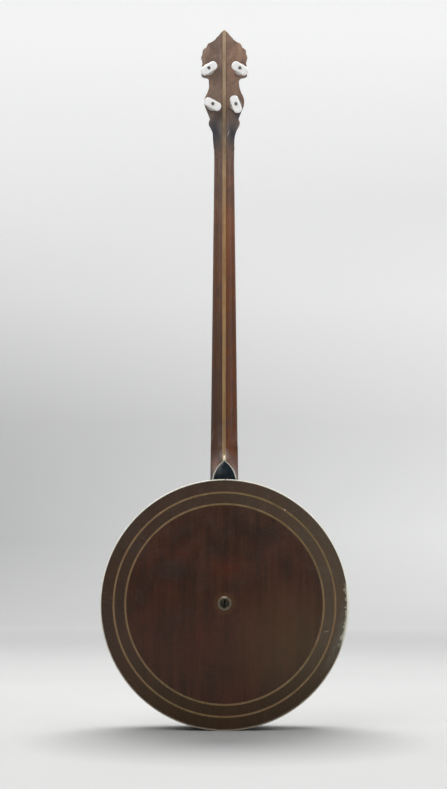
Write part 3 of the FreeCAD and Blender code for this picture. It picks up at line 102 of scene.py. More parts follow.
def axes(place):
    return put("ShaderNodeSeparateXYZ", {0: place}).outputs


def spread(value, low, high, to_low=0.0, to_high=1.0):
    made = put("ShaderNodeMapRange", {
        "Value": value, "From Min": low, "From Max": high, "To Min": to_low, "To Max": to_high})
    return made.outputs["Result"]


def noise(place, scale, detail=4.0, roughness=0.55, distortion=0.0, output="Fac"):
    return put("ShaderNodeTexNoise", {
        "Vector": place, "Scale": scale, "Detail": detail, "Roughness": roughness,
        "Distortion": distortion}).outputs[output]


def stretched(place, scale, turn=(0.0, 0.0, 0.0)):
    radians = [math.radians(angle) for angle in turn]
    return put("ShaderNodeMapping", {"Vector": place, "Scale": scale, "Rotation": radians}).outputs["Vector"]


def ramp(value, stops):
    made = put("ShaderNodeValToRGB", {"Fac": value})
    band = made.color_ramp
    while len(band.elements) < len(stops):
        band.elements.new(0.5)
    for element, (place, colour) in zip(band.elements, stops):
        element.position = place
        element.color = (*colour, 1.0)
    return made.outputs["Color"]


def radius_from_centre(place):
    # Distance from the pot's axis, in metres.
    return vector_maths("DISTANCE", vector_maths("MULTIPLY", place, (1.0, 0.0, 1.0)), tuple(POT_CENTRE))


def spot(place, centre, size, softness=0.4, turn=0.0):
    # A soft round or stretched spot about a point, 1 in the middle and 0 outside.
    moved = vector_maths("SUBTRACT", place, centre)
    if turn:
        moved = put("ShaderNodeVectorRotate", {
            "Vector": moved, "Angle": math.radians(turn)}, rotation_type="Y_AXIS").outputs[0]
    return spread(vector_maths("LENGTH", vector_maths("DIVIDE", moved, size)), 1.0, 1.0 - softness)


# Shared effects

PLACE, TONE, NUMBER = "NodeSocketVector", "NodeSocketColor", "NodeSocketFloat"


def new_group(name, inputs, outputs):
    group = bpy.data.node_groups.new(name, "ShaderNodeTree")
    for direction, sockets in (("INPUT", inputs), ("OUTPUT", outputs)):
        for label, kind in sockets.items():
            group.interface.new_socket(name=label, in_out=direction, socket_type=kind)
    Open.tree = group
    return group, put("NodeGroupInput").outputs, put("NodeGroupOutput").inputs


def use_group(group, inputs):
    return put("ShaderNodeGroup", inputs, node_tree=group).outputs


def make_grain_group():
    # Straight grain along Z with growth bands, short pores and slow colour drift.
    group, given, result = new_group("wood_grain", {
        "Place": PLACE, "Light": TONE, "Dark": TONE, "Pore": TONE, "Fineness": NUMBER, "Band width": NUMBER,
        "Pore amount": NUMBER}, {"Colour": TONE, "Height": NUMBER, "Pores": NUMBER})
    drift = noise(stretched(given["Place"], (1.0, 1.0, 0.16)), 9.0, 3.0, 0.5, output="Color")
    warped = vector_maths("ADD", given["Place"], vector_maths("SCALE", drift, 0.02))
    along = stretched(warped, (1.0, 1.0, 0.035))
    bands = noise(along, given["Band width"], 3.0, 0.6, 0.4)
    fine = noise(along, given["Fineness"], 6.0, 0.7, 0.2)
    pores = noise(stretched(warped, (1.0, 1.0, 0.05)), 1500.0, 2.0, 0.5)
    pore_amount = times(spread(pores, 0.36, 0.44, 1.0, 0.0), given["Pore amount"])
    tone = spread(maths("ADD", times(bands, 0.55), times(fine, 0.45)), 0.34, 0.66)
    feed(result["Colour"], mix(pore_amount, mix(tone, given["Dark"], given["Light"]), given["Pore"]))
    feed(result["Height"], maths("SUBTRACT", times(tone, 0.5), times(pore_amount, 0.8)))
    feed(result["Pores"], pore_amount)
    return group


def make_handling_group():
    # Smudges from hands, dull patches and fine scratches in two directions.
    group, given, result = new_group(
        "handling_marks", {"Place": PLACE, "Patch size": NUMBER, "Scratch density": NUMBER},
        {"Smudge": NUMBER, "Scratch": NUMBER})
    feed(result["Smudge"], spread(noise(given["Place"], given["Patch size"], 4.0, 0.62, 0.6), 0.42, 0.68))
    scratches = []
    for angle, scale in ((34.0, 40.0), (-52.0, 31.0)):
        lines = noise(stretched(given["Place"], (14.0, 1.0, 0.10), (0.0, angle, 0.0)), scale, 0.0, 0.5)
        hair = spread(apart(lines, 0.5), 0.0, 0.006, 1.0, 0.0)
        here = noise(given["Place"], scale * 0.9, 2.0, 0.5)
        scratches.append(times(hair, spread(here, 0.60, 0.66)))
    feed(result["Scratch"], times(maths("MAXIMUM", *scratches), given["Scratch density"]))
    return group


def make_tarnish_group():
    # Cloudy dulling and small pits of old plating.
    group, given, result = new_group("plating_tarnish", {
        "Place": PLACE, "Cloud size": NUMBER, "Amount": NUMBER}, {"Mask": NUMBER, "Height": NUMBER})
    clouds = noise(given["Place"], given["Cloud size"], 5.0, 0.6, 0.3)
    pits = spread(noise(given["Place"], 1400.0, 2.0, 0.5), 0.68, 0.78)
    cloudy = times(spread(clouds, 0.38, 0.66), given["Amount"])
    feed(result["Mask"], maths("ADD", cloudy, times(pits, 0.35), clamp=True))
    feed(result["Height"], maths("SUBTRACT", 0.0, pits))
    return group


def make_glue_group():
    # The dark glue line along the strip's right edge, strongest near the heel, and both edges high up.
    group, given, result = new_group("dark_glue_line", {"Place": PLACE}, {"Mask": NUMBER})
    parts = axes(given["Place"])
    wander = noise(stretched(given["Place"], (0.0, 0.0, 1.0)), 30.0, 2.0, 0.5)
    line = spread(apart(parts["X"], spread(wander, 0.3, 0.7, 0.0024, 0.0030)), 0.0010, 0.0004)
    fade = times(spread(parts["Z"], 0.40, 0.66, 0.85, 0.30), spread(parts["Z"], 0.28, 0.30))
    edge_line = spread(apart(maths("ABSOLUTE", parts["X"]), 0.0031), 0.0007, 0.0002)
    edge_fade = spread(parts["Z"], 0.76, 0.82, 0.0, 0.60)
    feed(result["Mask"], maths("MAXIMUM", times(line, fade), times(edge_line, edge_fade)))
    return group


GRAIN = make_grain_group()
HANDLING = make_handling_group()
TARNISH = make_tarnish_group()
GLUE = make_glue_group()


def wood(place, light, dark, pore, fineness, band_width, pore_amount):
    return use_group(GRAIN, {
        "Place": place, "Light": light, "Dark": dark, "Pore": pore, "Fineness": fineness,
        "Band width": band_width, "Pore amount": pore_amount})


def handled(place, patch_size, scratches, polished, smudged):
    # Marks from hands, and the roughness between the polished and the smudged places.
    marks = use_group(HANDLING, {"Place": place, "Patch size": patch_size, "Scratch density": scratches})
    return marks, spread(marks["Smudge"], 0.0, 1.0, polished, smudged)


def glued(colour, place):
    return mix(use_group(GLUE, {"Place": place})["Mask"], colour, (0.060, 0.024, 0.024))


# Materials

FINE_BUMP = 0.0001
CLOSE_BUMP = 0.00005
SOFT_BUMP = 0.0002
PAPER_BUMP = 0.001


def new_material(name):
    material = bpy.data.materials.new(name)
    material.use_nodes = True
    Open.tree = material.node_tree
    return material, put("ShaderNodeTexCoord").outputs["Object"]


def finished(material, colour, roughness, height, strength, extras=None, distance=FINE_BUMP):
    # Lead what was drawn to the material's own shader; extras are named inputs of it.
    bump = put("ShaderNodeBump", {"Strength": strength, "Distance": distance, "Height": height})
    shader = material.node_tree.nodes["Principled BSDF"]
    for socket, value in {"Base Color": colour, "Roughness": roughness, "Normal": bump.outputs["Normal"],
                          **(extras or {})}.items():
        feed(shader.inputs[socket], value)
    return material


def lacquer(specular, coat, coat_roughness):
    return {"Specular IOR Level": specular, "Coat Weight": coat, "Coat Roughness": coat_roughness}


# Patches of the resonator's figure: across, up, half width, half height, turn, amount, tone.
PATCH_TONES = {"red": (0.088, 0.020, 0.010), "dark": (0.014, 0.010, 0.009), "brown": (0.062, 0.030, 0.014),
               "amber": (0.050, 0.024, 0.006)}
DISC_PATCHES = (
    (0.004, 0.048, 0.060, 0.020, 0.0, 0.70, "red"),
    (0.056, 0.066, 0.034, 0.020, -30.0, 0.50, "red"),
    (-0.052, 0.070, 0.034, 0.018, 35.0, 0.45, "red"),
    (-0.070, 0.010, 0.020, 0.032, 20.0, 0.45, "red"),
    (-0.050, 0.094, 0.018, 0.036, -35.0, 0.70, "dark"),
    (-0.067, 0.042, 0.034, 0.026, -20.0, 0.75, "dark"),
    (0.080, 0.051, 0.014, 0.034, 15.0, 0.60, "dark"),
    (0.018, 0.096, 0.040, 0.014, 0.0, 0.50, "dark"),
    (0.010, 0.020, 0.020, 0.012, 20.0, 0.50, "dark"),
    (-0.070, -0.036, 0.026, 0.040, 10.0, 0.45, "dark"),
    (0.005, -0.088, 0.040, 0.022, 0.0, 0.60, "dark"),
    (-0.040, -0.050, 0.034, 0.050, 0.0, 0.55, "red"),
    (0.030, -0.030, 0.030, 0.050, 0.0, 0.45, "brown"),
    (0.005, -0.085, 0.075, 0.036, 0.0, 0.55, "amber"),
    (-0.066, -0.070, 0.034, 0.036, -40.0, 0.50, "amber"),
)
DISC_DEPTH = -0.035
BAND_DEPTH = -0.030


def on_disc(place, across, up, wide, tall, softness, turn=0.0, depth=DISC_DEPTH):
    # A spot on the resonator's back, given from the pot's centre.
    return spot(place, (across, depth, POT_CENTRE.z + up), (wide, 1.0, tall), softness, turn)


def chipped_edge_and_highlight(place):
    # Where the right edge is chipped and carries a painted highlight: a short stretch with a ragged inner
    # border.
    ragged = spread(noise(place, 170.0, 4.0, 0.65), 0.30, 0.70, -0.0024, 0.0024)
    along = on_disc(place, 0.1620, -0.016, 0.0400, 0.044, 0.35, depth=BAND_DEPTH)
    return times(along, spread(maths("ADD", radius_from_centre(place), ragged), 0.1599, 0.1609))


def make_resonator_wood():
    # Red-brown lacquered veneer, duller and olive near the edge, with slanted reddish figure and a painted
    # reflection by the right edge.
    material, place = new_material("resonator_lacquered_wood")
    parts = axes(place)
    radius = radius_from_centre(place)
    grain = wood(
        place, (0.064, 0.030, 0.017), (0.026, 0.013, 0.009), (0.008, 0.005, 0.004), 640.0, 110.0, 0.6)
    flames = noise(stretched(place, (1.0, 1.0, 0.42), (0.0, 24.0, 0.0)), 15.0, 4.0, 0.55, 0.4)
    colour = mix(spread(flames, 0.46, 0.70, 0.0, 0.50), grain["Colour"], (0.078, 0.022, 0.012))
    dark = noise(stretched(place, (1.0, 1.0, 0.6), (0.0, -18.0, 0.0)), 14.0, 4.0, 0.6, 0.8)
    colour = mix(spread(dark, 0.50, 0.68, 0.0, 0.62), colour, (0.018, 0.012, 0.010))
    patchy = spread(flames, 0.32, 0.60, 0.25, 1.0)
    for across, up, wide, tall, turn, amount, tone in DISC_PATCHES:
        patch = on_disc(place, across, up, wide, tall, 1.0, turn)
        colour = mix(times(times(patch, patchy), amount), colour, PATCH_TONES[tone])
    low_right = on_disc(place, 0.085, -0.055, 0.085, 0.090, 0.9)
    colour = mix(times(low_right, 0.5), colour, (0.066, 0.044, 0.020))
    colour = mix(spread(parts["Z"], 0.215, 0.130), colour, multiplied(colour, (0.98, 0.84, 0.70)))
    disc_tone = mix(spread(parts["X"], 0.0, 0.095), (0.98, 0.86, 0.77), (1.04, 1.14, 1.18))
    colour = multiplied(colour, disc_tone)
    stain = times(on_disc(place, 0.0, 0.0, 0.0165, 0.0165, 0.6), spread(flames, 0.35, 0.6, 0.2, 0.8))
    colour = mix(stain, colour, (0.100, 0.050, 0.016))
    band_tone = mix(spread(parts["X"], -0.03, 0.15), (0.047, 0.030, 0.019), (0.090, 0.068, 0.045))
    band_tone = mix(spread(parts["Z"], 0.115, 0.050), band_tone, (0.038, 0.023, 0.008))
    olive = mix(spread(parts["Y"], -0.026, -0.022, 0.65, 0.30), colour, band_tone)
    colour = mix(spread(radius, 0.128, 0.1335), colour, olive)
    marks, roughness = handled(place, 26.0, 0.30, 0.20, 0.36)
    colour = mix(marks["Scratch"], colour, (0.13, 0.10, 0.075))
    tick = spot(place, (0.1347, -0.032, 0.1285), (0.0048, 1.0, 0.0006), 0.5, 6.0)
    colour = mix(tick, colour, (0.22, 0.17, 0.10))
    # A painted reflection, a streaked grey-green sheen inside the right edge, and the chipped edge lie on the
    # back only.
    at_back = spread(parts["Y"], -0.024, -0.027)
    dull = on_disc(place, 0.1560, -0.052, 0.0400, 0.060, 0.6, depth=BAND_DEPTH)
    dull = times(times(dull, spread(radius, 0.1510, 0.1560)), at_back)
    streaks = noise(stretched(place, (1.0, 1.0, 0.3), (0.0, 14.0, 0.0)), 420.0, 3.0, 0.6)
    dull = times(dull, spread(streaks, 0.36, 0.60, 0.15, 0.75))
    colour = mix(dull, colour, (0.098, 0.092, 0.072))
    # The chipped edge, worn and with a painted highlight on it.
    chips_and_highlight = times(chipped_edge_and_highlight(place), at_back)
    colour = mix(times(chips_and_highlight, 0.85), colour, (0.36, 0.35, 0.28))
    roughness = maths("ADD", roughness, times(grain["Pores"], 0.15))
    return finished(material, colour, roughness, grain["Height"], 0.25, lacquer(0.32, 0.15, 0.12))


# Patches on the back of the neck: centre, half width and height, softness, amount, tone.
PAINTED_BLUE_SHADE = (0.030, 0.036, 0.050)
NECK_PATCHES = (
    ((-0.013, 0.0, 0.352), (0.0065, 0.016), 0.8, 0.7, (0.16, 0.065, 0.036)),
    # A darker stretch on the right of the round back: painted shade.
    ((0.013, 0.030, 0.560), (0.014, 0.140), 1.0, 0.68, (0.066, 0.030, 0.013)),
    # Painted blue-black shade low on the peghead.
    ((-0.013, 0.030, 0.833), (0.012, 0.028), 0.9, 0.85, PAINTED_BLUE_SHADE),
    ((0.012, 0.030, 0.831), (0.012, 0.024), 0.9, 0.85, PAINTED_BLUE_SHADE),
    ((0.019, 0.030, 0.860), (0.009, 0.018), 0.9, 0.85, PAINTED_BLUE_SHADE),
    ((-0.020, 0.030, 0.872), (0.006, 0.016), 0.9, 0.85, PAINTED_BLUE_SHADE),
    ((-0.011, 0.020, 0.888), (0.011, 0.032), 1.0, 0.45, (0.27, 0.195, 0.155)),
    ((0.011, 0.020, 0.888), (0.011, 0.032), 1.0, 0.30, (0.11, 0.080, 0.070)),
)
NECK_SPAN = (0.30, 1.0)


def make_neck_wood():
    # Red-brown neck wood: long grain, dark hand smudges, painted blue-black shade low on the peghead, and
    # painted light and shade on the sides of the round back.
    material, place = new_material("neck_lacquered_wood")
    parts = axes(place)
    grain = wood(
        place, (0.235, 0.120, 0.074), (0.120, 0.060, 0.040), (0.045, 0.024, 0.018), 520.0, 120.0, 0.45)
    colour = multiplied(grain["Colour"], ramp(spread(parts["Z"], *NECK_SPAN), (
        (0.00, (0.40, 0.37, 0.36)), (0.15, (0.47, 0.41, 0.38)), (0.33, (0.60, 0.52, 0.45)),
        (0.50, (0.88, 0.74, 0.62)), (0.70, (0.84, 0.95, 1.10)), (0.77, (0.98, 1.60, 2.20)),
        (0.82, (1.36, 1.76, 2.04)), (1.00, (1.60, 1.90, 2.14)))))
    colour = mix(spread(parts["Z"], 0.83, 0.98, 0.0, 0.30), colour, (0.30, 0.24, 0.21))
    # Painted light and shade: on the round back the left side is darker and the right side lighter and
    # warmer, fading out up on the flat peghead.
    painted_side_light = mix(spread(parts["X"], -0.004, 0.004), (0.82, 0.83, 0.76), (1.36, 0.88, 0.42))
    colour = mix(spread(parts["Z"], 0.58, 0.80, 1.0, 0.12), colour, multiplied(colour, painted_side_light))
    marks, roughness = handled(place, 38.0, 0.3, 0.36, 0.50)
    colour = mix(times(marks["Smudge"], 0.50), colour, (0.050, 0.034, 0.034))
    for centre, (wide, tall), softness, amount, tone in NECK_PATCHES:
        colour = mix(times(spot(place, centre, (wide, 1.0, tall), softness), amount), colour, tone)
    colour = mix(marks["Scratch"], glued(colour, place), (0.24, 0.18, 0.15))
    scratch = spot(place, (0.0060, 0.030, 0.8320), (0.0008, 1.0, 0.0058), 0.6, -20.0)
    colour = mix(times(scratch, 0.85), colour, (0.34, 0.32, 0.31))
    return finished(material, colour, roughness, grain["Height"], 0.25, lacquer(0.18, 0.04, 0.15))


def make_light_wood():
    # Maple under amber lacquer, golden along the neck and pinker on the peghead.
    material, place = new_material("maple_strip")
    parts = axes(place)
    grain = wood(place, (0.42, 0.27, 0.13), (0.27, 0.16, 0.075), (0.14, 0.08, 0.05), 700.0, 200.0, 0.25)
    colour = multiplied(grain["Colour"], ramp(spread(parts["Z"], *NECK_SPAN), (
        (0.00, (0.80, 0.80, 0.68)), (0.18, (0.80, 0.81, 0.74)), (0.45, (0.90, 0.84, 0.75)),
        (0.54, (0.90, 0.85, 0.79)), (0.62, (0.99, 0.985, 0.985)), (0.80, (1.20, 1.42, 1.86)),
        (1.00, (1.30, 1.58, 2.10)))))
    colour = mix(spread(parts["Z"], 0.82, 0.97, 0.0, 0.45), colour, (0.37, 0.26, 0.19))
    shaded = spot(place, (0.0, 0.030, 0.832), (0.020, 1.0, 0.055), 1.0)
    colour = mix(shaded, colour, multiplied(colour, (0.52, 0.54, 0.58)))
    marks, roughness = handled(place, 45.0, 0.2, 0.34, 0.48)
    colour = mix(times(marks["Smudge"], 0.35), colour, (0.13, 0.075, 0.045))
    core = spread(maths("ABSOLUTE", maths("ADD", parts["X"], 0.0003)), 0.0005, 0.0012, 1.0, 0.0)
    core = times(times(core, spread(parts["Z"], 0.45, 0.40)), spread(parts["Z"], 0.28, 0.30))
    colour = mix(times(core, 0.6), colour, (0.13, 0.070, 0.030))
    colour = glued(colour, place)
    # A painted highlight: the pale wedge at the heel's tip, narrowing upward.
    tip = times(spread(parts["Y"], 0.019, 0.013), spread(parts["Z"], 0.3675, 0.3655))
    half_width = maths("SUBTRACT", 0.0022, times(maths("SUBTRACT", parts["Z"], 0.3575), 0.12))
    inside = spread(maths("SUBTRACT", half_width, maths("ABSOLUTE", parts["X"])), -0.0002, 0.0006)
    wedge_highlight = mix(spread(parts["Z"], 0.359, 0.364), (0.42, 0.37, 0.26), (0.80, 0.70, 0.52))
    colour = mix(times(tip, inside), colour, wedge_highlight)
    return finished(material, colour, roughness, grain["Height"], 0.2, lacquer(0.20, 0.05, 0.15))


def make_ring_wood():
    # Golden inlay that drifts to pink, with one white nick on the outer ring.
    material, place = new_material("inlay_ring_wood")
    grain = wood(place, (0.205, 0.138, 0.062), (0.118, 0.078, 0.034), (0.08, 0.045, 0.03), 500.0, 150.0, 0.3)
    pink = spread(noise(place, 14.0, 2.0, 0.5), 0.45, 0.62, 0.0, 0.35)
    colour = mix(pink, grain["Colour"], (0.20, 0.100, 0.058))
    nick = spot(place, (0.0811, -0.033, 0.2893), (0.0016, 1.0, 0.0012), 0.5)
    colour = mix(nick, colour, (0.80, 0.70, 0.55))
    _, roughness = handled(place, 40.0, 0.4, 0.22, 0.38)
    return finished(material, colour, roughness, grain["Height"], 0.2, lacquer(0.32, 0.12, 0.12))


def make_plain_wood(name, tones, grain_sizes, hands, strength, turn=(0.0, 0.0, 0.0)):
    # Wood without stains: its three tones, the grain's sizes and the marks of hands.
    material, place = new_material(name)
    grain = wood(stretched(place, (1.0, 1.0, 1.0), turn), *tones, *grain_sizes)
    _, roughness = handled(place, *hands)
    return finished(material, grain["Colour"], roughness, grain["Height"], strength)


def make_cream_binding():
    # Aged celluloid: a thin cream line beside the stained inner edge, tan and darker low down from painted
    # shade, grey at the heel.
    material, place = new_material("aged_cream_binding")
    parts = axes(place)
    drift = noise(place, 16.0, 4.0, 0.55)
    colour = mix(spread(drift, 0.35, 0.65), (0.95, 0.92, 0.84), (0.82, 0.77, 0.64))
    climb = maths("ADD", parts["Z"], spread(drift, 0.3, 0.7, -0.03, 0.03))
    at_back = spread(parts["Y"], -0.020, -0.026)
    # Painted shade: the back's binding turns tan and darker towards the bottom.
    colour = mix(times(spread(climb, 0.190, 0.050, 0.0, 0.75), at_back), colour, (0.150, 0.105, 0.055))
    stained = times(spread(radius_from_centre(place), 0.1641, 0.1635), at_back)
    # The stain stops where the edge is chipped and carries its painted highlight.
    clear_of_chips_and_highlight = maths("SUBTRACT", 0.95, chipped_edge_and_highlight(place), clamp=True)
    colour = mix(times(stained, clear_of_chips_and_highlight), colour, (0.048, 0.036, 0.026))
    at_heel = times(spread(parts["Z"], 0.3285, 0.3305), spread(parts["Y"], 0.0, -0.010))
    heel_fade = spread(parts["Z"], 0.330, 0.356, 0.35, 0.95)
    colour = mix(times(at_heel, heel_fade), colour, (0.25, 0.225, 0.20))
    seam = times(spread(apart(parts["X"], 0.0011), 0.0009, 0.0004), spread(parts["Z"], 0.320, 0.322))
    colour = mix(times(seam, spread(parts["Y"], -0.022, -0.024)), colour, (0.050, 0.028, 0.018))
    marks, roughness = handled(place, 90.0, 0.3, 0.24, 0.42)
    colour = mix(times(marks["Smudge"], 0.25), colour, (0.30, 0.22, 0.13))
    return finished(material, colour, roughness, drift, 0.1, {"Subsurface Weight": 0.05}, SOFT_BUMP)


def make_black_cap():
    material, place = new_material("black_celluloid")
    cloud = noise(place, 40.0, 3.0, 0.5)
    marks, roughness = handled(place, 80.0, 0.22, 0.12, 0.30)
    colour = mix(cloud, (0.0030, 0.0072, 0.0110), (0.0060, 0.0135, 0.0200))
    colour = mix(marks["Scratch"], colour, (0.12, 0.13, 0.14))
    return finished(material, colour, roughness, cloud, 0.1)


def make_metal(name, bright, dull, polished, rough, cloud_size, amount, add_painted_light=None):
    material, place = new_material(name)
    tarnish = use_group(TARNISH, {"Place": place, "Cloud size": cloud_size, "Amount": amount})
    colour = mix(tarnish["Mask"], bright, dull)
    if add_painted_light:
        colour = add_painted_light(colour, place)
    roughness = spread(tarnish["Mask"], 0.0, 1.0, polished, rough)
    metallic = spread(tarnish["Mask"], 0.0, 1.0, 1.0, 0.85)
    return finished(material, colour, roughness, tarnish["Height"], 0.10, {"Metallic": metallic}, CLOSE_BUMP)


def ferrule_painted_light_and_shade(colour, place):
    # Painted light and shade: the cup's mouth is painted dark as shade, and a painted highlight lies on the
    # upper lip.
    polished = spot(place, (0.0, -0.037, POT_CENTRE.z + 0.0083), (0.0042, 1.0, 0.0016), 0.7)
    colour = mix(polished, colour, (0.80, 0.70, 0.60))
    return mix(spread(radius_from_centre(place), 0.0067, 0.0061), colour, (0.022, 0.020, 0.016))


def make_head_film():
    # Coated film: off-white, faintly mottled, greyed where the strings are picked and a wrist rests.
    material, place = new_material("coated_head")
    drift = noise(place, 12.0, 5.0, 0.6)
    colour = mix(spread(drift, 0.35, 0.65), (0.80, 0.77, 0.68), (0.70, 0.66, 0.55))
    ragged = spread(noise(place, 60.0, 4.0, 0.6), 0.30, 0.60, 0.35, 1.0)
    for centre, size, amount in (((0.004, 0.062, 0.160), (0.040, 1.0, 0.034), 0.45),
                                 ((0.030, 0.062, 0.085), (0.026, 1.0, 0.030), 0.30)):
        worn = times(times(spot(place, centre, size, 0.9), ragged), amount)
        colour = mix(worn, colour, (0.44, 0.41, 0.35))
    coat = noise(place, 1800.0, 2.0, 0.6)
    return finished(material, colour, spread(drift, 0.3, 0.7, 0.48, 0.62), coat, 0.35)


def make_bone():
    material, place = new_material("bone_nut")
    drift = noise(stretched(place, (0.3, 1.0, 1.0)), 300.0, 4.0, 0.6)
    colour = mix(drift, (0.72, 0.66, 0.50), (0.84, 0.80, 0.68))
    return finished(material, colour, spread(drift, 0.3, 0.7, 0.30, 0.45), drift, 0.15)


def make_pearl():
    # Pearl-like celluloid: overlapping soft flakes of slightly different whites.
    material, place = new_material("pearl_celluloid")
    swirl = noise(place, 120.0, 4.0, 0.6, 1.6)
    flakes = put("ShaderNodeTexVoronoi", {
        "Vector": place, "Scale": 260.0, "Randomness": 1.0}, feature="SMOOTH_F1").outputs["Distance"]
    tone = maths("ADD", times(swirl, 0.6), times(flakes, 0.5))
    colour = ramp(tone, (
        (0.25, (0.62, 0.65, 0.66)), (0.45, (0.90, 0.89, 0.87)), (0.62, (0.80, 0.80, 0.79)),
        (0.80, (0.95, 0.93, 0.90))))
    return finished(material, colour, spread(swirl, 0.3, 0.7, 0.16, 0.30), tone, 0.08, {
        "Coat Weight": 0.5, "Coat Roughness": 0.08}, SOFT_BUMP)


MATERIALS = {
    "resonator_wood": make_resonator_wood(),
    "neck_wood": make_neck_wood(),
    "light_wood": make_light_wood(),
    "ring_wood": make_ring_wood(),
    "rim_wood": make_plain_wood(
        "rim_maple", ((0.42, 0.24, 0.11), (0.24, 0.12, 0.055), (0.10, 0.05, 0.03)), (400.0, 110.0, 0.3),
        (24.0, 0.3, 0.32, 0.50), 0.25, (90.0, 0.0, 0.0)),
    "cream_binding": make_cream_binding(),
    "black_cap": make_black_cap(),
    "ebony": make_plain_wood(
        "ebony_board", ((0.030, 0.021, 0.017), (0.012, 0.009, 0.008), (0.004, 0.003, 0.003)),
        (600.0, 160.0, 0.6), (50.0, 0.25, 0.34, 0.52), 0.35),
    "ferrule_nickel": make_metal(
        "tarnished_ferrule", (0.30, 0.25, 0.19), (0.14, 0.115, 0.085), 0.24, 0.50, 240.0, 0.7, ferrule_painted_light_and_shade),
    "blackened_steel": make_metal(
        "blackened_steel", (0.07, 0.065, 0.06), (0.02, 0.018, 0.016), 0.35, 0.6, 300.0, 0.6),
    "nickel": make_metal("aged_nickel", (0.78, 0.75, 0.69), (0.42, 0.36, 0.28), 0.13, 0.36, 55.0, 0.55),
    "brass": make_metal("aged_brass", (0.60, 0.44, 0.20), (0.25, 0.16, 0.07), 0.22, 0.50, 50.0, 0.6),
    "steel": make_metal("plain_steel", (0.66, 0.66, 0.65), (0.34, 0.31, 0.28), 0.18, 0.40, 70.0, 0.4),
    "peg_steel": make_metal("peg_steel", (0.60, 0.59, 0.57), (0.28, 0.25, 0.22), 0.20, 0.42, 90.0, 0.5),
    "peg_brass": make_metal("peg_brass", (0.58, 0.43, 0.20), (0.25, 0.16, 0.07), 0.25, 0.5, 90.0, 0.5),
    "head_film": make_head_film(),
    "bone": make_bone(),
    "pearl": make_pearl(),
}
NODE_FINISH = {"centre_screw": "blackened_steel"}


def node_material(node_name):
    return MATERIALS[NODE_FINISH.get(node_name, slots[node_name])]


def finish_cad_nodes():
    for node_name in slots:
        thing = nodes[node_name]
        material = node_material(node_name)
        if not thing.material_slots:
            thing.data.materials.append(material)
        for slot in thing.material_slots:
            slot.material = material


# Modelling helpers

# How near points lie that are merged: after turning, softening, copying and cutting.
TURNED_MERGE = 0.000002
SOFT_MERGE = 0.000001
COPY_MERGE = 0.00001
CUT_MERGE = 0.00002


def begin():
    if bpy.context.object and bpy.context.object.mode != "OBJECT":
        bpy.ops.object.mode_set(mode="OBJECT")
    bpy.ops.object.select_all(action="DESELECT")


def take(piece):
    begin()
    piece.select_set(True)
    bpy.context.view_layer.objects.active = piece


def settle():
    bpy.ops.object.transform_apply(location=True, rotation=True, scale=True)


def open_mesh():
    # Into edit mode with every point selected.
    bpy.ops.object.mode_set(mode="EDIT")
    bpy.ops.mesh.select_all(action="SELECT")


def close_mesh(faces_outward=False):
    if faces_outward:
        bpy.ops.mesh.select_all(action="SELECT")
        bpy.ops.mesh.normals_make_consistent(inside=False)
    bpy.ops.object.mode_set(mode="OBJECT")


def set_in(piece, body, slot_name, stands_for=(), smooth_angle=38.0, material=None):
    # Smooth the piece, give it its finish and let it ride on its body.
    take(piece)
    settle()
    bpy.ops.object.shade_smooth_by_angle(angle=math.radians(smooth_angle))
    piece.data.materials.clear()
    piece.data.materials.append(material or MATERIALS[slot_name])
    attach(piece, body)
    if stands_for:
        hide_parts(*stands_for)
    return piece


def drawn(name, points):
    # A run of edges from point to point, extruded from one vertex; left in edit mode, all selected.
    begin()
    bpy.ops.mesh.primitive_plane_add(size=0.0002, location=points[0])
    piece = bpy.context.object
    piece.name = name
    settle()
    open_mesh()
    bpy.ops.mesh.merge(type="CENTER")
    for before, after in zip(points, points[1:]):
        step = Vector(after) - Vector(before)
        bpy.ops.mesh.extrude_region_move(TRANSFORM_OT_translate={"value": tuple(step)})
    bpy.ops.mesh.select_all(action="SELECT")
    return piece


def turned(name, profile, steps=192):
    # A lathe-turned piece about the pot's axis from a closed run of (radius, depth), in metres.
    piece = drawn(name, [(radius, depth, POT_CENTRE.z) for radius, depth in profile + profile[:1]])
    bpy.ops.mesh.spin(steps=steps, angle=math.tau, center=tuple(POT_CENTRE), axis=(0.0, 1.0, 0.0))
    bpy.ops.mesh.select_all(action="SELECT")
    bpy.ops.mesh.remove_doubles(threshold=TURNED_MERGE)
    close_mesh(faces_outward=True)
    return piece


def eased(points, radius, steps=4):
    # The same closed profile with its corners rounded to at most the given radius.
    rounded = []
    for index, place in enumerate(points):
        corner = Vector(place)
        before = Vector(points[index - 1]) - corner
        after = Vector(points[(index + 1) % len(points)]) - corner
        cut_back = min(radius / math.tan(before.angle(after) / 2), before.length * 0.45, after.length * 0.45)
        start = corner + before.normalized() * cut_back
        end = corner + after.normalized() * cut_back
        for step in range(steps + 1):
            share = step / steps
            point = start * (1 - share) ** 2 + corner * 2 * share * (1 - share) + end * share ** 2
            rounded.append((point.x, point.y))
    return rounded


def lofted(name, rings):
    # The first ring is drawn and filled; each next one is extruded from it and its points set in place.
    piece = drawn(name, rings[0])
    bpy.ops.mesh.edge_face_add()
    for before, after in zip(rings, rings[1:]):
        rise = Vector(after[0]) - Vector(before[0])
        bpy.ops.mesh.extrude_region_move(TRANSFORM_OT_translate={"value": tuple(rise)})
        mesh = bmesh.from_edit_mesh(piece.data)
        for corner in [vertex for vertex in mesh.verts if vertex.select]:
            old_place = corner.co - rise
            nearest = min(range(len(before)), key=lambda index: (old_place - Vector(before[index])).length)
            corner.co = after[nearest]
        bmesh.update_edit_mesh(piece.data)
    close_mesh(faces_outward=True)
    return piece


def copied(source, name):
    piece = source.copy()
    piece.data = source.data.copy()
    piece.name = name
    bpy.context.scene.collection.objects.link(piece)
    take(piece)
    return piece


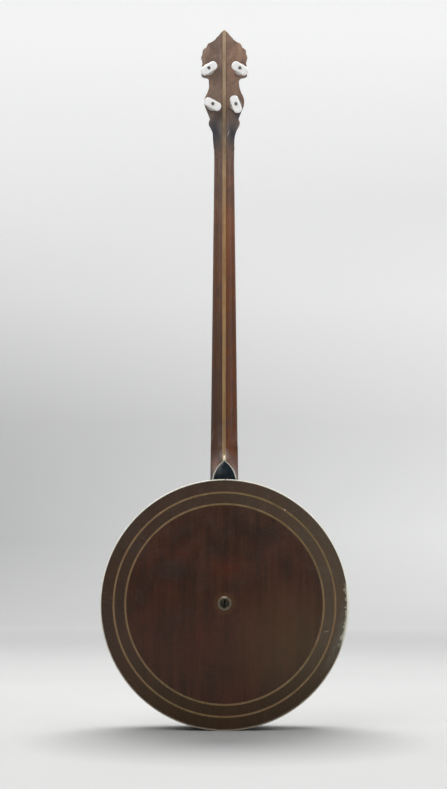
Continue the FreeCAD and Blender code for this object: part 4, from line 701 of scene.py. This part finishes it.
def plain_copy(node_name, name):
    # A merged copy of a frame node, free of the frame's own marks.
    piece = copied(nodes[node_name], name)
    for key in list(piece.keys()):
        del piece[key]
    piece.parent = None
    open_mesh()
    bpy.ops.mesh.remove_doubles(threshold=COPY_MERGE)
    bpy.ops.mesh.dissolve_limited(angle_limit=math.radians(0.8))
    close_mesh()
    return piece


def soften(piece, width, segments=2, angle=35.0):
    # Broken edges, with the doubled points of narrow places merged.
    take(piece)
    bevel = piece.modifiers.new("broken_edges", "BEVEL")
    bevel.width = width
    bevel.segments = segments
    bevel.limit_method = "ANGLE"
    bevel.angle_limit = math.radians(angle)
    bevel.use_clamp_overlap = False
    bpy.ops.object.modifier_apply(modifier=bevel.name)
    open_mesh()
    bpy.ops.mesh.remove_doubles(threshold=SOFT_MERGE)
    bpy.ops.mesh.dissolve_degenerate(threshold=SOFT_MERGE)
    close_mesh()
    return piece


def combined(piece, other, operation):
    # The piece with the other added to it or cut out of it; the other is used up.
    take(piece)
    joint = piece.modifiers.new("joint", "BOOLEAN")
    joint.operation = operation
    joint.solver = "EXACT"
    joint.object = other
    bpy.ops.object.modifier_apply(modifier=joint.name)
    bpy.data.objects.remove(other)
    return piece


def joined(first, *others):
    take(first)
    for other in others:
        other.select_set(True)
    bpy.ops.object.join()
    return first


# Resonator

RIM_EDGE = 0.1626
BINDING_EDGE = 0.1650
BACK_PLANE = -0.031
CROWN = -0.037
BACK_THICKNESS = 0.006
BACK_INSIDE = BACK_PLANE + BACK_THICKNESS
DOME_RISE = 0.006
DOME_RADIUS = (RIM_EDGE ** 2 + DOME_RISE ** 2) / (2 * DOME_RISE)
CHANNELS = ((0.1302, 0.1328), (0.1457, 0.1483))
CHANNEL_DEPTH = 0.001
FERRULE_HOLE = 0.0073


def dome_depth(radius):
    return CROWN + DOME_RADIUS - math.sqrt(DOME_RADIUS ** 2 - radius ** 2)


def dome_run(start, end, steps):
    radii = [start + (end - start) * step / steps for step in range(steps + 1)]
    return [(radius, dome_depth(radius)) for radius in radii]


def make_back_plate():
    # Domed back with two shallow channels for the inlaid rings and a seat for the ferrule.
    seat = -0.0356
    outside = [(FERRULE_HOLE, seat), (0.0093, seat)]
    for start, (low, high), steps in zip((0.0094, CHANNELS[0][1]), CHANNELS, (16, 4)):
        outside += dome_run(start, low, steps)
        outside += [(radius, dome_depth(radius) + CHANNEL_DEPTH) for radius in (low, high)]
    outside += dome_run(CHANNELS[1][1], 0.1620, 4)
    outside += [(RIM_EDGE, dome_depth(RIM_EDGE) + 0.0006), (RIM_EDGE, BACK_INSIDE)]
    outside += [(radius, depth + BACK_THICKNESS) for radius, depth in dome_run(0.1600, FERRULE_HOLE, 8)]
    set_in(turned("resonator_back_plate", outside), "banjo", "resonator_wood", ("resonator_back",), 30.0)


def make_inlay_rings():
    lift = 0.00008
    rings = []
    for name, (low, high) in zip(("inlay_ring_inner", "inlay_ring_outer"), CHANNELS):
        section = [
            (low, dome_depth(low) + CHANNEL_DEPTH), (low, dome_depth(low) - lift),
            (high, dome_depth(high) - lift), (high, dome_depth(high) + CHANNEL_DEPTH)]
        rings.append(turned(name, eased(section, 0.00025)))
    piece = joined(*rings)
    piece.name = "inlay_rings"
    set_in(piece, "banjo", "ring_wood", ("resonator_inlay_rings",), 40.0)


def make_back_binding():
    section = [
        (RIM_EDGE, BACK_INSIDE), (RIM_EDGE, BACK_PLANE + 0.0001), (0.1630, BACK_PLANE),
        (BINDING_EDGE, BACK_PLANE), (BINDING_EDGE, BACK_INSIDE)]
    piece = turned("back_edge_binding", eased(section, 0.0008))
    set_in(piece, "banjo", "cream_binding", ("resonator_back_binding",), 40.0)


def make_ferrule():
    lip, under_lip, foot = CROWN - 0.0008, CROWN + 0.0006, CROWN + 0.006
    mouth, outside, sleeve = 0.0058, 0.0093, 0.0071
    section = [
        (mouth, lip + 0.0004), (0.0062, lip), (outside, lip), (outside, under_lip), (sleeve, under_lip),
        (sleeve, foot), (mouth, foot)]
    piece = turned("centre_ferrule_cup", eased(section, 0.0005), 64)
    set_in(piece, "banjo", "nickel", ("centre_ferrule",), 40.0, MATERIALS["ferrule_nickel"])


# Neck

BOARD_BACK = 0.049
HALF_AT_POT = 0.0196
HALF_AT_NUT = 0.0142
HALF_STRIP = 0.0027
SIDE_LINE = 0.045
NECK_LOW = 0.3121
NECK_HIGH = 0.808
PEGHEAD_SEAM = 0.8130
CAP_PLANE = -0.016
HEEL_RISE = 0.050
HEEL_APEX = 0.3575
HEEL_SWEEP = 0.052
ARCH_LENGTH = 0.028
CAP_HALF = 0.0164
ARCH_ROUND = 0.785
ARCH_STRAIGHT = 0.215
HEEL_HOLLOW = 0.009
NUT_HEIGHT = 0.790
SQUARE_FROM = 0.795
SQUARE_OVER = 0.016
PEGHEAD_LOW_CUT = 0.8100
PEGHEAD_START = Vector((0.0, 0.035, 0.806))
TILT = math.radians(12.0)


def share_up(height):
    return (height - NECK_LOW) / (NECK_HIGH - NECK_LOW)


def held(value):
    return min(max(value, 0.0), 1.0)


def neck_half(height):
    half = HALF_AT_POT + share_up(height) * (HALF_AT_NUT - HALF_AT_POT)
    return max(half, 0.0144 + (height - NUT_HEIGHT) * 0.008)


def neck_back(height):
    # The round back's depth, turning into the tilted back of the peghead.
    straight = 0.030 + share_up(height) * 0.005
    tilted = PEGHEAD_START.y - (height - PEGHEAD_START.z) * math.tan(TILT)
    return min(straight, tilted)


def heel_level(depth):
    return held((depth - CAP_PLANE) / HEEL_RISE)


def heel_apex(depth):
    # The arch's tip climbs from the cap to the neck in a quarter sweep.
    level = heel_level(depth)
    return HEEL_APEX + HEEL_SWEEP * (1 - math.sqrt(1 - level * level))


def heel_half(height, depth):
    drop = held((heel_apex(depth) - height) / ARCH_LENGTH)
    full = CAP_HALF + heel_level(depth) * (HALF_AT_POT - CAP_HALF)
    return min(full, neck_half(height)) * (
        ARCH_ROUND * math.sqrt(1 - (1 - drop) ** 2) + ARCH_STRAIGHT * drop)


def heel_reach(angle, height):
    # Distance from the neck's middle to the heel's skin, found by halving.
    low, high = 0.0, 0.080
    for _ in range(22):
        middle = (low + high) / 2
        depth = SIDE_LINE - middle * math.cos(angle)
        inside = depth >= CAP_PLANE and middle * math.sin(angle) <= heel_half(height, depth)
        if inside and heel_apex(depth) > height:
            low = middle
        else:
            high = middle
    return low


def neck_reach(angle, height):
    # An ellipse that squares up towards the peghead.
    squared = 2.0 + 9.0 * held((height - SQUARE_FROM) / SQUARE_OVER) ** 1.5
    across = abs(math.sin(angle) / neck_half(height)) ** squared
    deep = abs(math.cos(angle) / (SIDE_LINE - neck_back(height))) ** squared
    return (across + deep) ** (-1 / squared)


def blended(first, second, softness):
    # The larger of two distances, with a soft hollow where they meet.
    near = max(softness - abs(first - second), 0.0) / softness
    return max(first, second) + near * near * softness / 4


def neck_ring(height, steps=30):
    # One outline across the neck: half of it is worked out and mirrored.
    cap_corner = math.atan(heel_half(height, CAP_PLANE) / (SIDE_LINE - CAP_PLANE))
    square_corner = math.atan(neck_half(height) / (SIDE_LINE - neck_back(height)))
    corner = square_corner if height > NUT_HEIGHT else cap_corner
    angles = [math.pi / 2 * step / steps for step in range(steps + 1)]
    snapped = min(range(1, steps), key=lambda step: abs(angles[step] - corner))
    if corner > 0.01:
        angles[snapped] = corner
    half_ring = []
    for angle in angles:
        reach = blended(neck_reach(angle, height), heel_reach(angle, height), HEEL_HOLLOW * math.cos(angle))
        across = min(reach * math.sin(angle), neck_half(height))
        half_ring.append((across, SIDE_LINE - reach * math.cos(angle), height))
    half_ring.append((neck_half(height), BOARD_BACK, height))
    return half_ring + [(-across, depth, height) for across, depth, height in reversed(half_ring[1:])]


def neck_heights():
    heights = [0.3000, 0.3120, 0.3230]
    heights += [HEEL_APEX - ARCH_LENGTH * (step / 11) ** 2 for step in range(11, -1, -1)]
    heights += [HEEL_APEX + HEEL_SWEEP * (1 - math.cos(math.pi / 2 * step / 16)) for step in range(1, 17)]
    heights += [0.4150, 0.4250, 0.4600, 0.5400, 0.6200, 0.7000, 0.7800, 0.7930]
    heights += [0.7950 + 0.0020 * step for step in range(9)] + [PEGHEAD_SEAM]
    return heights


def sliced(piece, name, cuts):
    # A copy of the piece kept between flat cuts: each is (x, direction kept).
    part = copied(piece, name)
    bpy.ops.object.mode_set(mode="EDIT")
    for where, keep in cuts:
        bpy.ops.mesh.select_all(action="SELECT")
        bpy.ops.mesh.bisect(
            plane_co=(where, 0.0, 0.0), plane_no=(keep, 0.0, 0.0), use_fill=True, clear_inner=True)
    close_mesh()
    return part


def pot_cutter(radius, low, high):
    begin()
    bpy.ops.mesh.primitive_cylinder_add(
        vertices=160, radius=radius, depth=high - low, location=(0.0, (low + high) / 2, POT_CENTRE.z),
        rotation=(math.radians(90.0), 0.0, 0.0))
    cutter = bpy.context.object
    settle()
    return cutter


def cut_above(piece, height):
    # Keep what lies above the height.
    take(piece)
    open_mesh()
    bpy.ops.mesh.bisect(
        plane_co=(0.0, 0.0, height), plane_no=(0.0, 0.0, 1.0), use_fill=True, clear_inner=True)
    bpy.ops.mesh.select_all(action="SELECT")
    bpy.ops.mesh.remove_doubles(threshold=CUT_MERGE)
    bpy.ops.mesh.dissolve_limited(angle_limit=math.radians(1.0))
    close_mesh()


def make_peghead():
    # The peghead of the three glued woods, with its carved outline's edges broken.
    piece = plain_copy("neck_centre_strip", "peghead_wood")
    for side in ("neck_left_half", "neck_right_half"):
        combined(piece, plain_copy(side, "peghead_side"), "UNION")
    # Cut off low, softened, and cut again where it meets the shaft, so that the seam stays sharp.
    cut_above(piece, PEGHEAD_LOW_CUT)
    soften(piece, 0.0009, 3, 40.0)
    cut_above(piece, PEGHEAD_SEAM)
    return piece


# Where the pot, its flange and its hoop cut into the heel: radius and lowest depth.
POT_CUTS = ((0.1398, -0.030), (0.1424, 0.0299), (0.1471, 0.0338))
POT_CUTS_TOP = 0.060


def make_neck():
    shaft = lofted("neck_shaft", [neck_ring(height) for height in neck_heights()])
    for radius, low in POT_CUTS:
        combined(shaft, pot_cutter(radius, low, POT_CUTS_TOP), "DIFFERENCE")
    peghead = make_peghead()
    for name, node_name, cuts in (
            ("neck_right_side", "neck_right_half", ((HALF_STRIP, 1.0),)),
            ("neck_left_side", "neck_left_half", ((-HALF_STRIP, -1.0),)),
            ("neck_middle_strip", "neck_centre_strip", ((-HALF_STRIP, 1.0), (HALF_STRIP, -1.0)))):
        piece = joined(sliced(shaft, name, cuts), sliced(peghead, name + "_head", cuts))
        set_in(piece, "banjo", slots[node_name], (node_name,), 32.0)
    bpy.data.objects.remove(shaft)
    bpy.data.objects.remove(peghead)


# Metalwork, bone and celluloid with their edges broken

# Node, name of its softened copy, width of the broken edge.
SOFT_EDGES = (
    ("tension_hoop", "hoop_with_broken_edges", 0.0007),
    ("flange", "flange_plate_edges", 0.0006),
    ("hook_nuts", "chamfered_hook_nuts", 0.0006),
    ("tailpiece_base", "tailpiece_strap", 0.0004),
    ("tuner_nuts", "chamfered_tuner_nuts", 0.0005),
    ("tuner_housings", "tuner_cases", 0.0005),
    ("bridge_base", "bridge_foot", 0.0005),
    ("bridge_saddle", "bridge_top", 0.0005),
    ("string_nut", "rounded_nut", 0.0007),
    ("frets", "crowned_frets", 0.0004),
    ("heel_cap", "heel_cap_plate", 0.0003),
    ("peghead_overlay", "peghead_face", 0.0004),
    ("resonator_front_binding", "front_edge_binding", 0.0006),
    ("end_bolt", "end_bolt_head", 0.0006),
)


def make_soft_edges():
    for node_name, name, width in SOFT_EDGES:
        piece = soften(plain_copy(node_name, name), width)
        set_in(piece, "banjo", slots[node_name], (node_name,))


def make_centre_screw():
    # The slotted screw, stopped with its slot upright.
    piece = soften(plain_copy("centre_screw", "slotted_screw"), 0.0005)
    open_mesh()
    bpy.ops.transform.rotate(value=math.radians(86.0), orient_axis="Y", center_override=tuple(POT_CENTRE))
    close_mesh()
    set_in(piece, "banjo", "steel", ("centre_screw",), material=node_material("centre_screw"))


# Insets of the lid's top, from its edge inward: width and height.
PRESSED_STEPS = ((0.0042, 0.0), (0.0010, 0.0008), (0.0030, 0.0), (0.0008, -0.0005))


def make_tail_cover():
    # Pressed lid: rounded bends and a raised panel on its top.
    piece = plain_copy("tailpiece_cover", "pressed_tail_cover")
    bpy.ops.object.mode_set(mode="EDIT")
    bpy.ops.mesh.select_all(action="DESELECT")
    mesh = bmesh.from_edit_mesh(piece.data)
    roof = max((face for face in mesh.faces if face.normal.y > 0.99), key=lambda face: face.calc_area())
    roof.select = True
    bmesh.update_edit_mesh(piece.data)
    for thickness, depth in PRESSED_STEPS:
        bpy.ops.mesh.inset(thickness=thickness, depth=depth)
    close_mesh()
    soften(piece, 0.0005, 3, 30.0)
    set_in(piece, "tailpiece_lid", "nickel", ("tailpiece_cover",))


# String posts: name, across, along the peghead, side of the coil's start.
POSTS = (
    ("upper_left", -0.0219, 0.1152, 1.0), ("upper_right", 0.0219, 0.1152, -1.0),
    ("lower_left", -0.0164, 0.0650, 1.0), ("lower_right", 0.0164, 0.0650, -1.0))
HOLE_LEVEL = 0.025
POST_RADIUS = 0.0030
WIRE_RADIUS = 0.0003
COIL_DROP = 0.0008
COIL_TURNS = 4
COIL_STEPS = 28 * COIL_TURNS


def on_peghead(across, along, lift):
    # A place given across, up the peghead, and out from its back towards the front.
    forward = Vector((0.0, math.cos(TILT), math.sin(TILT)))
    upward = Vector((0.0, -math.sin(TILT), math.cos(TILT)))
    return PEGHEAD_START + Vector((across, 0.0, 0.0)) + upward * along + forward * lift


def make_string_windings():
    # Each coil lies just below its string's end and runs the way that string comes in.
    for name, across, along, side in POSTS:
        begin()
        bpy.ops.mesh.primitive_circle_add(
            vertices=8, radius=WIRE_RADIUS, location=(side * (POST_RADIUS + WIRE_RADIUS * 1.2), 0.0, 0.0),
            rotation=(math.radians(90.0), 0.0, 0.0))
        coil = bpy.context.object
        coil.name = "string_winding_" + name
        settle()
        wound = coil.modifiers.new("winding", "SCREW")
        wound.axis = "Z"
        wound.angle = side * math.tau * COIL_TURNS
        wound.screw_offset = -COIL_TURNS * WIRE_RADIUS * 2.05
        wound.steps = COIL_STEPS
        wound.render_steps = COIL_STEPS
        wound.use_merge_vertices = True
        bpy.ops.object.modifier_apply(modifier=wound.name)
        open_mesh()
        bpy.ops.mesh.fill_holes(sides=0)
        close_mesh(faces_outward=True)
        coil.rotation_euler = (TILT - math.radians(90.0), 0.0, 0.0)
        coil.location = on_peghead(across, along, HOLE_LEVEL - COIL_DROP)
        set_in(coil, "post_" + name, "steel", (), 60.0)


def make_post_heads():
    for name, *_ in POSTS:
        node_name = "string_post_" + name
        piece = soften(plain_copy(node_name, "post_with_rounded_top_" + name), 0.0006, 3, 40.0)
        set_in(piece, "post_" + name, "peg_steel", (node_name,))


# Camera, lamps, air, floor and backdrop

CAMERA_PLACE = (-0.0115, -1.900, 0.1824)
CAMERA_TURN = (97.99, 0.0, -0.31)
CAMERA_LENS = 63.64
SENSOR_WIDTH = 36.0
# Area lamps: name, place, target, width, height, watts, tint.
LAMPS = (
    ("key_softbox", (-1.3, -2.2, 2.3), (0.0, 0.0, 0.45), 2.4, 2.4, 46.0, (1.0, 0.985, 0.96)),
    ("fill_softbox", (2.0, -1.5, 1.1), (0.0, 0.0, 0.4), 1.2, 1.8, 18.0, (0.95, 0.98, 1.0)),
    ("top_softbox", (0.0, 0.9, 2.5), (0.0, 0.2, 0.0), 2.2, 1.6, 60.0, (1.0, 1.0, 1.0)))
AIR_FOR_THE_EYE = 0.86
SWEEP_SIDE = 7.0
SWEEP_FRONT = -6.0
CURVE_START = 5.1
CURVE_RADIUS = 1.2
WALL_TOP = 7.0
# The backdrop's glow at its two sides: height as a share of the wall, brightness.
LEFT_GLOW = ((0.0, 0.26), (0.03, 0.20), (0.12, 0.05), (0.29, 0.115), (0.48, 0.32), (0.63, 0.44), (0.90, 0.56))
RIGHT_GLOW = ((0.0, 0.34), (0.03, 0.38), (0.12, 0.39), (0.29, 0.33), (0.48, 0.45), (0.63, 0.42), (0.90, 0.57))


def make_camera():
    bpy.ops.object.camera_add(location=CAMERA_PLACE, rotation=[math.radians(angle) for angle in CAMERA_TURN])
    camera = bpy.context.object
    camera.name = "photo_camera"
    camera.data.lens = CAMERA_LENS
    camera.data.sensor_width = SENSOR_WIDTH
    bpy.context.scene.camera = camera


def make_lamps():
    for name, place, target, width, height, watts, tint in LAMPS:
        bpy.ops.object.light_add(type="AREA", location=place)
        lamp = bpy.context.object
        lamp.name = name
        lamp.data.shape = "RECTANGLE"
        lamp.data.size = width
        lamp.data.size_y = height
        lamp.data.energy = watts
        lamp.data.color = tint
        lamp.rotation_euler = (Vector(target) - Vector(place)).to_track_quat("-Z", "Y").to_euler()


def make_air():
    # A pale studio for the eye and from above, and a dim room behind the camera.
    world = bpy.data.worlds.new("studio_air")
    world.use_nodes = True
    Open.tree = world.node_tree
    parts = axes(put("ShaderNodeTexCoord").outputs["Generated"])
    lit = maths("ADD", spread(parts["Y"], -0.8, 0.4, 0.10, 0.55), spread(parts["Z"], 0.1, 0.9, 0.0, 0.45))
    camera_ray = put("ShaderNodeLightPath").outputs["Is Camera Ray"]
    strength = put("ShaderNodeMix", {0: camera_ray, 2: lit, 3: AIR_FOR_THE_EYE}, data_type="FLOAT").outputs[0]
    background = world.node_tree.nodes["Background"]
    feed(background.inputs["Strength"], strength)
    feed(background.inputs["Color"], (0.98, 0.99, 1.0))
    bpy.context.scene.world = world
    bpy.context.scene.view_settings.view_transform = "Standard"


def glow_ramp(height, stops):
    return ramp(height, [(share, (light, light * 1.01, light)) for share, light in stops])


def make_sweep_paper():
    # Pale paper with painted light: it glows, brightest high up and greyer low on the left.
    material, place = new_material("pale_paper")
    parts = axes(place)
    mottle = noise(place, 3.0, 3.0, 0.5)
    wall = spread(parts["Z"], 0.0, 0.5)
    colour = mix(wall, mix(mottle, (0.47, 0.47, 0.465), (0.50, 0.50, 0.495)), (0.72, 0.72, 0.72))
    seen_in_gloss = put("ShaderNodeLightPath").outputs["Is Glossy Ray"]
    colour = mix(times(seen_in_gloss, 0.6), colour, (0.05, 0.05, 0.05))
    height = spread(parts["Z"], 0.0, 4.0)
    glow = mix(spread(parts["X"], -1.6, 1.6), glow_ramp(height, LEFT_GLOW), glow_ramp(height, RIGHT_GLOW))
    elsewhere = spread(maths("SUBTRACT", parts["Y"], maths("ABSOLUTE", parts["X"])), 0.5, -1.0)
    glow = mix(elsewhere, glow, (0.44, 0.445, 0.44))
    away = vector_maths("LENGTH", vector_maths("MULTIPLY", place, (1.0, 1.0, 0.0)))
    glow = mix(maths("MAXIMUM", wall, spread(away, 1.2, 5.0)), (0.0, 0.0, 0.0), glow)
    shaded = spot(place, (0.0, -0.16, 0.0), (0.25, 0.26, 1.0), 1.0)
    colour = mix(times(shaded, 0.78), colour, (0.15, 0.15, 0.15))
    # The floor behind the camera lies under the lamps: its paper is painted darker as shade against their
    # light, with its own even glow.
    behind = spread(parts["Y"], -0.65, -1.40)
    colour = mix(times(behind, 0.85), colour, (0.06, 0.06, 0.06))
    glow = mix(behind, glow, mix(seen_in_gloss, (0.74, 0.745, 0.74), (0.32, 0.32, 0.32)))
    return finished(material, colour, 0.9, mottle, 0.02, {
        "Specular IOR Level": 0.2, "Emission Color": glow, "Emission Strength": 1.0}, PAPER_BUMP)


def make_studio():
    # A pale sweep: flat floor, then a curve up to the wall behind.
    profile = [(-SWEEP_SIDE, SWEEP_FRONT, 0.0), (-SWEEP_SIDE, CURVE_START, 0.0)]
    for step in range(1, 17):
        angle = math.pi / 2 * step / 16
        profile.append((
            -SWEEP_SIDE, CURVE_START + CURVE_RADIUS * math.sin(angle), CURVE_RADIUS * (1 - math.cos(angle))))
    profile.append((-SWEEP_SIDE, CURVE_START + CURVE_RADIUS, WALL_TOP))
    sweep = drawn("studio_sweep", profile)
    bpy.ops.mesh.extrude_region_move(TRANSFORM_OT_translate={"value": (2 * SWEEP_SIDE, 0.0, 0.0)})
    close_mesh(faces_outward=True)
    take(sweep)
    bpy.ops.object.shade_smooth()
    sweep.data.materials.append(make_sweep_paper())


bpy.ops.object.select_all(action="DESELECT")
make_camera()
make_lamps()
make_air()
make_studio()
finish_cad_nodes()
make_back_plate()
make_inlay_rings()
make_back_binding()
make_ferrule()
make_neck()
make_soft_edges()
make_centre_screw()
make_tail_cover()
make_string_windings()
make_post_heads()
